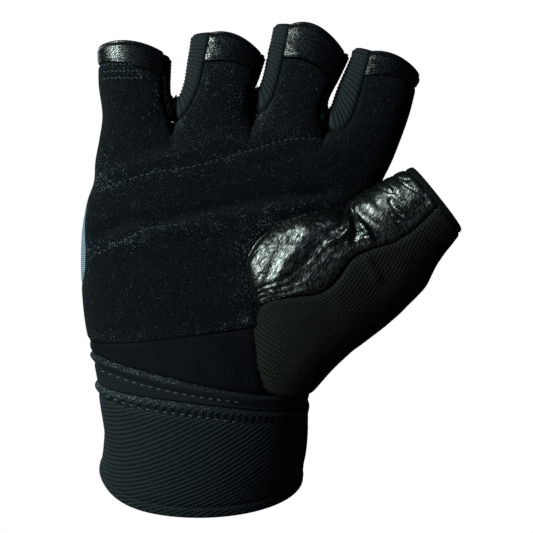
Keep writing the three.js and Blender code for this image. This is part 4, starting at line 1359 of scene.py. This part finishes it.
# Ridges and valleys of the leather as the palm's side shows them: width, rise and corners
BALL_LINES = (
    (3.2, 0.5, (21, 88), (19.2, 80), (19.6, 70)),
    (1.8, -0.5, (23, 69), (27, 80), (33, 89)),
    (2.8, 0.5, (26, 71), (32, 82), (39, 91)),
    (1.5, -0.25, (33, 72), (40, 83), (45, 91)),
)
FOLD_LINES = (
    (0.9, 1.3, (54, 101.5), (53, 97), (53.6, 93), (50.5, 89.5), (46, 87.5)),
    (0.8, 1.2, (55, 100), (56.2, 95), (59.4, 91.2), (61, 87.5)),
    (1.2, -1.6, (54.2, 100.5), (54.6, 96), (55.8, 91.5), (54.5, 88.5)),
    (1.6, -0.9, (52, 97), (50, 93), (47, 91)),
)


@dataclass
class Thumb:
    """Leather patch, mesh panel and binding of the thumb."""

    form: GloveForm
    rows: int = 190
    patch_columns: int = 74
    panel_columns: int = 120
    end: float = 6.72
    top: float = -42.0
    gap: float = 1.0
    leather: float = 1.5
    mesh: float = 1.3
    binding: float = 2.2
    sewn_rows: tuple[float, ...] = (2.2, 4.0, 5.8)

    def __post_init__(self) -> None:
        """Samples the whole thumb, for the pieces that it cuts."""
        at, turn = np.linspace(-0.5, 7.4, 80)[:, None], np.linspace(0, 360, 61)
        cloth = Cloth.joined([Cloth.grid(self.leaned(at, turn), turn, at)]).outward()
        self.samples, self.sample_normals = cloth.points, cloth.normals()

    def leaned(self, at: Array, turn: Array, off: Array | float = 0.0) -> Array:
        """Points of the thumb's face in the worn pose."""
        p = self.form.thumb(at, turn, off)
        return self.form.lean(p[..., 0], p[..., 1], p[..., 2])

    def outside(self, points: Array) -> Array:
        """Distance of points outside the thumb's face, negative inside, no more than 12."""
        low, high = self.samples.min(0) - 6, self.samples.max(0) + 6
        near = np.all((points > low) & (points < high), axis=1)
        result = np.full(len(points), 12.0)
        distance, which = nearest(points[near], self.samples, 12.0)
        away = points[near] - self.samples[which]
        result[near] = distance * np.sign((away * self.sample_normals[which]).sum(1))
        return result

    def above_hand(self, at: Array, turn: Array) -> Array:
        """How far the thumb's face lies outside the hand's face, negative inside it."""
        p = self.form.thumb(at, turn)
        ahead = p[..., 1] < 0
        left, right = self.form.trunk(p[..., 2])[:2]
        past = np.maximum(left - p[..., 0], p[..., 0] - right)
        height = self.form.face_height(p[..., 0], p[..., 2], ahead)
        return np.where(past > 0, np.maximum(past, 3.0), np.abs(p[..., 1]) - height)

    def sector(self, low: Callable, high: Callable, columns: int) -> Cloth:
        """Part of the thumb between two turns, with its places and its clearance of the hand."""
        at = (steps(self.rows) * self.end)[:, None]
        turn = mix(low(at), high(at), steps(columns))
        points = self.leaned(at, turn)
        along = arc_length(points, 0)[:, columns // 2][:, None]
        around = arc_length(points, 1)
        cloth = Cloth.grid(
            points,
            around - around[:, columns // 2][:, None],
            along + 0 * around,
            at=at + 0 * turn,
            turn=turn,
            clear=self.above_hand(at + 0 * turn, turn),
        )
        return cloth.outward()

    def patch_end(self, at: Array) -> Array:
        """Turn at which the leather ends and the mesh begins."""
        return read(self.form.thumb_rows, "at", at, "patch")

    def trimmed(self, cloth: Cloth) -> Cloth:
        """Leaves out what lies deep inside the hand."""
        return cloth.kept((cloth.marks["clear"][cloth.quads] > -2.8).any(1))

    def wrinkles(self, cloth: Cloth) -> Array:
        """Folds of the leather: slanted on the ball of the thumb, crosswise beyond the joint."""
        at = cloth.marks["at"]
        x, z = cloth.places
        slant = math.radians(62)
        across = x * math.sin(slant) - z * math.cos(slant)
        along = x * math.cos(slant) + z * math.sin(slant)
        ball = smooth((3.9 - at) / 0.5)
        height = ball * 0.3 * (hills(across / 6.5, along / 26, 61) + creases(across / 3.2, along / 14, 62))
        height += ball * (0.3 * creases(across / 1.5, along / 9, 63) + 0.16 * creases(x / 2.2, z / 2.2, 64))
        for width, rise, *places in BALL_LINES:
            height += ball * rise * bump(to_line(x, z, *places), width)
        tip = smooth((at - 4.3) / 0.4)
        height += tip * (0.5 * creases(along / 2.2, across / 8, 65) + 0.25 * hills(x / 4, z / 4, 66, 2))
        for width, rise, *places in FOLD_LINES:
            height += rise * bump(to_line(x, z, *places), width)
        return height

    def patch(self) -> Cloth:
        """Leather patch over the ball and the front of the thumb."""
        cloth = self.sector(
            lambda at: self.top + self.gap / 2 + 0 * at,
            lambda at: self.patch_end(at) - self.gap / 2,
            self.patch_columns,
        )
        rim = cloth.to_rim()
        inner = smooth(rim / 3) * smooth(np.abs(cloth.marks["clear"]) / 3)
        rows = (self.patch_end(cloth.marks["at"]) - cloth.marks["turn"]) * 0.3
        ball = smooth((4.1 - cloth.marks["at"]) / 0.5)
        puckers = 0.6 + 0.4 * hills(*cloth.places / 1.3, 68)
        sewn = sum(bump(rows - place, 0.5) for place in self.sewn_rows)
        height = self.wrinkles(cloth) * inner - 0.6 * ball * sewn * puckers
        height -= 0.8 * bump(rim, 0.9) + 0.9 * bump(cloth.marks["clear"], 1.0)
        return self.trimmed(cloth.pushed(height))

    def panel(self) -> Cloth:
        """Mesh panel round the thumb's lower and back side."""
        cloth = self.sector(
            lambda at: self.patch_end(at) + self.gap / 2,
            lambda at: 360 + self.top - self.gap / 2 + 0 * at,
            self.panel_columns,
        )
        rim = cloth.to_rim()
        x, z = cloth.places
        height = 0.3 * hills(x / 9, z / 9, 71, 2) * smooth(rim / 4)
        height += 0.9 * bump(to_line(x, z, (57, 85), (60, 80), (63, 75)), 1.7) * smooth(rim / 3)
        height -= 0.7 * bump(rim, 0.8) + 0.8 * bump(cloth.marks["clear"], 1.0)
        return self.trimmed(cloth.pushed(height))

    def rim(self) -> Cloth:
        """Binding round the opening: a flattened ring, its profile a rounded oblong."""
        turn = np.linspace(0, 360, 145)
        angle = np.radians(np.linspace(0, 360, 25))[:, None]
        low = self.end - 0.04
        at = (low + THUMB_TIP) / 2 + (THUMB_TIP - low) / 2 * signed_power(np.cos(angle), 0.6)
        off = self.binding * (0.5 * signed_power(np.sin(angle), 0.6) - 0.66)
        points = self.leaned(at + 0 * turn, turn + 0 * at, off + 0 * turn)
        cloth = Cloth.joined([Cloth.grid(points, arc_length(points, 1), arc_length(points, 0))])
        section = Cloth.grid(points, turn, at).normals().reshape(points.shape)
        return cloth if (section[6] * (points[6] - points[18])).sum() > 0 else cloth.reversed()

    def build(self) -> Cloth:
        """Makes the thumb's pieces and returns the leather's outer face."""
        patch, panel = self.patch(), self.panel()
        wall, cover = patch.thick(self.leather), ("thumb_panel", "palm_panel")
        make_sheet("thumb_leather", "thumb_patch", patch, wall, SHINY_LEATHER, *cover)
        wall, cover = panel.thick(self.mesh), ("palm_panel", "hand_back_panel")
        make_sheet("thumb_mesh", "thumb_panel", panel, wall, WOVEN_MESH, *cover)
        make_piece(self.rim(), "thumb_binding", BINDING, "thumb_rim")
        return patch


@dataclass
class Wrist:
    """Stretch gusset, the two turns of the wrap with their rolled hems, and the closure tab."""

    form: GloveForm
    columns: int = 300
    elastic: float = 2.0
    stretch: float = 1.2
    tab_wall: float = 1.7
    tab_turns: tuple[float, float] = (236, 304)
    inner_off: float = -2.7
    gusset_off: float = -0.45
    tab_off: float = 2.25
    lap: float = 9.0
    hem: float = 3.6

    def loop(self, low: Array, high: Array, off: float, bulge: Callable, rows: int) -> Cloth:
        """A closed band round the wrist.

        Its profile runs up the outer face, over a half round, down the inner face and round the
        foot. The bulge is added to the outer face.

        Args:
            low: Height of the lower edge at each turn.
            high: Height of the upper edge.
            off: Distance of its outer face from the glove's face.
            bulge: Gives the outer face's relief from the heights above the lower and below the
                upper edge and the turn.
            rows: Rows of the outer face.

        Returns:
            The band, with its lower and upper distances as marks.
        """
        turn = self.around()
        radius = self.elastic / 2
        face = mix(low + radius, high - radius, steps(rows)[:, None])
        top = np.radians(np.linspace(15, 165, 8))[:, None]
        foot = np.radians(np.linspace(195, 345, 8))[:, None]
        ones = np.ones_like(turn)
        z = np.concatenate([
            face,
            high - radius + radius * np.sin(top) * ones,
            mix(high - radius, low + radius, steps(12)[:, None]),
            low + radius + radius * np.sin(foot) * ones,
            face[:1],
        ])
        side = np.concatenate([
            np.ones(len(face)), np.cos(top[:, 0]), -np.ones(13), np.cos(foot[:, 0]), np.ones(1)
        ])[:, None]
        depth = off - radius + radius * side
        shown = np.clip(side, 0, 1)
        above, below = z - low, high - z
        depth = depth + bulge(above, below, turn) * shown
        points = self.form.wrist(turn + 0 * z, z, depth)
        run = arc_length(points, 1)
        cloth = Cloth.grid(points, run, above + 0 * run, above=above, below=below, side=side + 0 * z)
        cloth = Cloth.joined([cloth])
        side = cloth.marks["side"]
        # Painted highlight: pale fuzz glints along the roll's lit top and the foot, on the outer and top
        # faces, fading out to the right away from the key light
        fuzz = 0.8 * bump(cloth.marks["below"] - 0.5, 0.8) + 0.35 * bump(cloth.marks["above"] - 1.6, 0.5)
        cloth.marks["worn"] = smooth((30 - cloth.points[:, 0]) / 50) * fuzz * (side > -0.2)
        return cloth.outward(np.array([1, 1, 0]) * (side > 0.9)[:, None])

    @staticmethod
    def fullness(turn: Array) -> Array:
        """How full the rolled hems are at each turn: full at the left, flat at the right."""
        return 0.25 + 0.75 * smooth((1 + cos_sin(turn)[0]) / 1.4)

    def around(self) -> Array:
        """Turns round the wrist in degrees, from the back round the left, the front and the right."""
        return np.linspace(-90, 270, self.columns + 1)

    def across(self) -> Array:
        """Share across the wrist at each turn, -1 at the left and 1 at the right."""
        return -cos_sin(self.around())[0]

    def inner(self) -> Cloth:
        """Inner turn: thin under the outer one, and full above it, with a rolled edge."""
        across = self.across()
        low = self.form.line(self.form.roll_outer, across) - self.lap
        high = self.form.line(self.form.roll_inner, across)
        edge = self.form.line(self.form.roll_outer, across)

        def relief(above: Array, below: Array, turn: Array) -> Array:
            """Steps out over the outer turn's edge, with a roll and a stitched valley."""
            out = smooth((above + low - edge + 0.6) / 1.2) * (-self.inner_off - 0.3)
            roll = (0.8 * bump(below - 1.4, 1.2) - 0.6 * bump(below - 3.9, 0.7)) * self.fullness(turn)
            return out + roll * smooth((above + low - edge) / 1.0)

        return self.loop(low, high, self.inner_off, relief, 60)

    def outer(self) -> Cloth:
        """Outer turn: a broad band with a rolled upper edge and a turned hem at the foot."""
        across = self.across()
        low = 0.025 * self.form.length * np.maximum(0, -across) ** 6
        high = self.form.line(self.form.roll_outer, across)

        def relief(above: Array, below: Array, turn: Array) -> Array:
            """A roll with a stitched valley above, a flat hem below and soft waves between."""
            roll = (0.9 * bump(below - 1.4, 1.2) - 0.5 * bump(below - 4.0, 0.7)) * self.fullness(turn)
            foot = 0.35 * smooth((self.hem - above) / 0.5) - 0.35 * bump(above - self.hem, 0.5)
            body = smooth((above - 6) / 6) * smooth((below - 5) / 5)
            waves = 0.5 * hills(turn / 24 + 0.12 * above, above / 14, 81) * body
            return roll + foot + waves

        return self.loop(low, high, 0.0, relief, 96)

    def gusset(self, thumb: Thumb) -> Cloth:
        """Stretch cloth between the suede and the wrap, with faint upright folds."""
        across = self.across()
        low = self.form.line(self.form.roll_inner, across) + 0.3
        high = self.form.line(self.form.suede_low, across) - 0.3
        turn = self.around()
        z = mix(low, high, steps(26)[:, None])
        points = self.form.wrist(turn + 0 * z, z, self.gusset_off)
        run = arc_length(points, 1)
        cloth = Cloth.joined([Cloth.grid(points, run, z)]).outward(np.array([1, 1, 0]))
        x, up = cloth.places
        height = 0.35 * hills(x / 8 + up / 20, up / 14, 91, 2) - 0.3 * bump(cloth.to_rim(), 0.8)
        cloth = cloth.pushed(height)
        out = thumb.outside(cloth.points)
        cloth = cloth.pushed(-0.5 * bump(np.maximum(out, 0), 1.0))
        return cloth.kept((out[cloth.quads] > -1.2).any(1))

    def tab(self) -> Cloth:
        """Hook and loop tab across the back of the outer turn."""
        form = self.form
        turn = np.linspace(*self.tab_turns, 61)
        z = np.linspace(0.05, 0.18, 31)[:, None] * form.length
        points = form.wrist(turn + 0 * z, z, self.tab_off)
        run = arc_length(points, 1)
        cloth = Cloth.grid(points, run, z + 0 * run)
        if cloth.normals()[:, 1].sum() < 0:
            cloth = cloth.reversed()
        return cloth.pushed(-0.35 * bump(cloth.to_rim(), 0.8) - 0.2 * bump(cloth.to_rim() - 2.5, 0.5))

    def build(self, thumb: Thumb) -> tuple[Cloth, Cloth]:
        """Makes the wrist's pieces and returns the outer faces of the wrap's two turns."""
        gusset, inner, outer, tab = self.gusset(thumb), self.inner(), self.outer(), self.tab()
        wall, cover = gusset.thick(self.stretch), ("palm_panel", "wrist_wrap_inner")
        make_sheet("wrist_stretch", "wrist_gusset", gusset, wall, BLACK_STRETCH, *cover)
        node = "wrist_wrap_inner"
        make_sheet("wrap_inner", node, self.face(inner), inner, HEM_ELASTIC, "wrist_gusset")
        make_sheet("wrap_outer", "wrist_wrap_outer", self.face(outer), outer, TWILL_ELASTIC, node)
        wall = tab.thick(self.tab_wall, 0.35)
        make_sheet("wrap_tab", "closure_tab", tab, wall, BINDING, "wrist_wrap_outer", held="laid")
        return self.face(inner), self.face(outer)

    @staticmethod
    def face(band: Cloth) -> Cloth:
        """The outer face of a band."""
        return band.kept((band.marks["side"][band.quads] > 0.9).all(1))


@dataclass
class Studio:
    """Pale floor, soft lights and the camera."""

    eye: tuple[float, float, float] = (24.3, -822.0, 79.0)
    lens: float = 150.1
    floor: float = -46.0
    reach: float = 6.0

    @staticmethod
    def placed(name: str, data: Any, location: tuple[float, float, float] = (0, 0, 0)) -> bpy.types.Object:
        """Puts an object into the scene."""
        made = bpy.data.objects.new(name, data)
        made.location = location
        bpy.context.collection.objects.link(made)
        return made

    def area(self, name: str, place: tuple, size: tuple, power: float, colour: str) -> None:
        """An area light that looks at the middle of the glove."""
        data = bpy.data.lights.new(name, "AREA")
        data.shape = "RECTANGLE"
        data.size, data.size_y = size
        data.energy = power
        data.color = linear(colour)[:3]
        aim = Vector((0.02, -0.02, 0.09)) - Vector(place)
        self.placed(name, data, place).rotation_euler = aim.to_track_quat("-Z", "Y").to_euler()

    def stage(self) -> None:
        """A floor that the camera sees as white, and that lights the glove only a little."""
        reach, z = self.reach, self.floor * MM
        corners = [(-reach, -reach, z), (reach, -reach, z), (reach, reach, z), (-reach, reach, z)]
        floor = bpy.data.meshes.new("floor")
        floor.from_pydata(corners, [], [(0, 1, 2, 3)])
        material = bpy.data.materials.new("backdrop_pale")
        nodes = Nodes(material)
        matt = nodes.add("BsdfDiffuse", {"Color": (0.08, 0.08, 0.08, 1)})
        nodes.add("OutputMaterial", {"Surface": nodes.white_to_camera("Emission", matt)})
        floor.materials.append(material)
        self.placed("floor", floor)

    def build(self) -> None:
        """Makes the stage, lights and camera."""
        scene = bpy.context.scene
        scene.view_settings.view_transform = "Standard"
        self.stage()
        scene.world = bpy.data.worlds.new("studio")
        nodes = Nodes(scene.world)
        dim = nodes.add("Background", {"Color": linear("b4cdf0"), "Strength": 0.05})
        nodes.add("OutputWorld", {"Surface": nodes.white_to_camera("Background", dim)})
        self.area("key_left", (-0.62, -0.5, 0.34), (0.32, 0.6), 19.0, "eafff6")
        self.area("fill_front", (-0.2, -0.9, 0.5), (0.9, 0.9), 0.7, "b8d0f4")
        self.area("rim_back", (-0.5, 0.6, 0.3), (0.4, 0.9), 2.0, "e8f4fa")
        data = bpy.data.cameras.new("camera")
        data.lens = self.lens
        data.clip_start, data.clip_end = 0.05, 30.0
        scene.camera = self.placed("camera", data, tuple(v * MM for v in self.eye))
        scene.camera.rotation_euler = (math.pi / 2, 0, 0)


def sew(palm: Cloth, patch: Cloth, turns: tuple[Cloth, Cloth]) -> None:
    """Sews the stitch rows of the palm, the thumb and the wrap.

    Args:
        palm: The palm's outer face.
        patch: The thumb patch's outer face.
        turns: The outer faces of the wrap's inner and outer turn.
    """
    inner, outer = turns
    # Each row of stitches: its thread, the cloth, its lines, the pitch and the slant
    fine = Stitches("palm_stitches", length=1.3, radius=0.17, rise=0.18)
    tight = Stitches("thumb_stitches", length=1.3, radius=0.16, rise=0.16)
    long = Stitches("wrap_stitches", length=2.0, radius=0.24)
    rows = (
        (fine, palm, PALM_SEAMS, 2.1, 12),
        (fine, palm, HEM_SEAMS, 1.5, 32),
        (tight, patch, THUMB_SEAMS, 2.0, 10),
        (long, inner, WRAP_SEAMS[:1], 3.1, 0),
        (long, outer, WRAP_SEAMS[1:], 3.1, 0),
    )
    for stitches, cloth, lines, pitch, slant in rows:
        for line in lines:
            stitches.along(front_of(cloth), line.spots(pitch), slant)
    for stitches in (fine, tight, long):
        stitches.build()


def main() -> None:
    """Builds the glove's sub-assemblies in order, then the studio."""
    form = GloveForm()
    thumb = Thumb(form)
    patch = thumb.build()
    palm = Hand(form).build(thumb)
    FingerHems(form).build()
    Fourchettes(form).build()
    turns = Wrist(form).build(thumb)
    sew(palm, patch, turns)
    Studio().build()


if __name__ == "__main__":
    main()
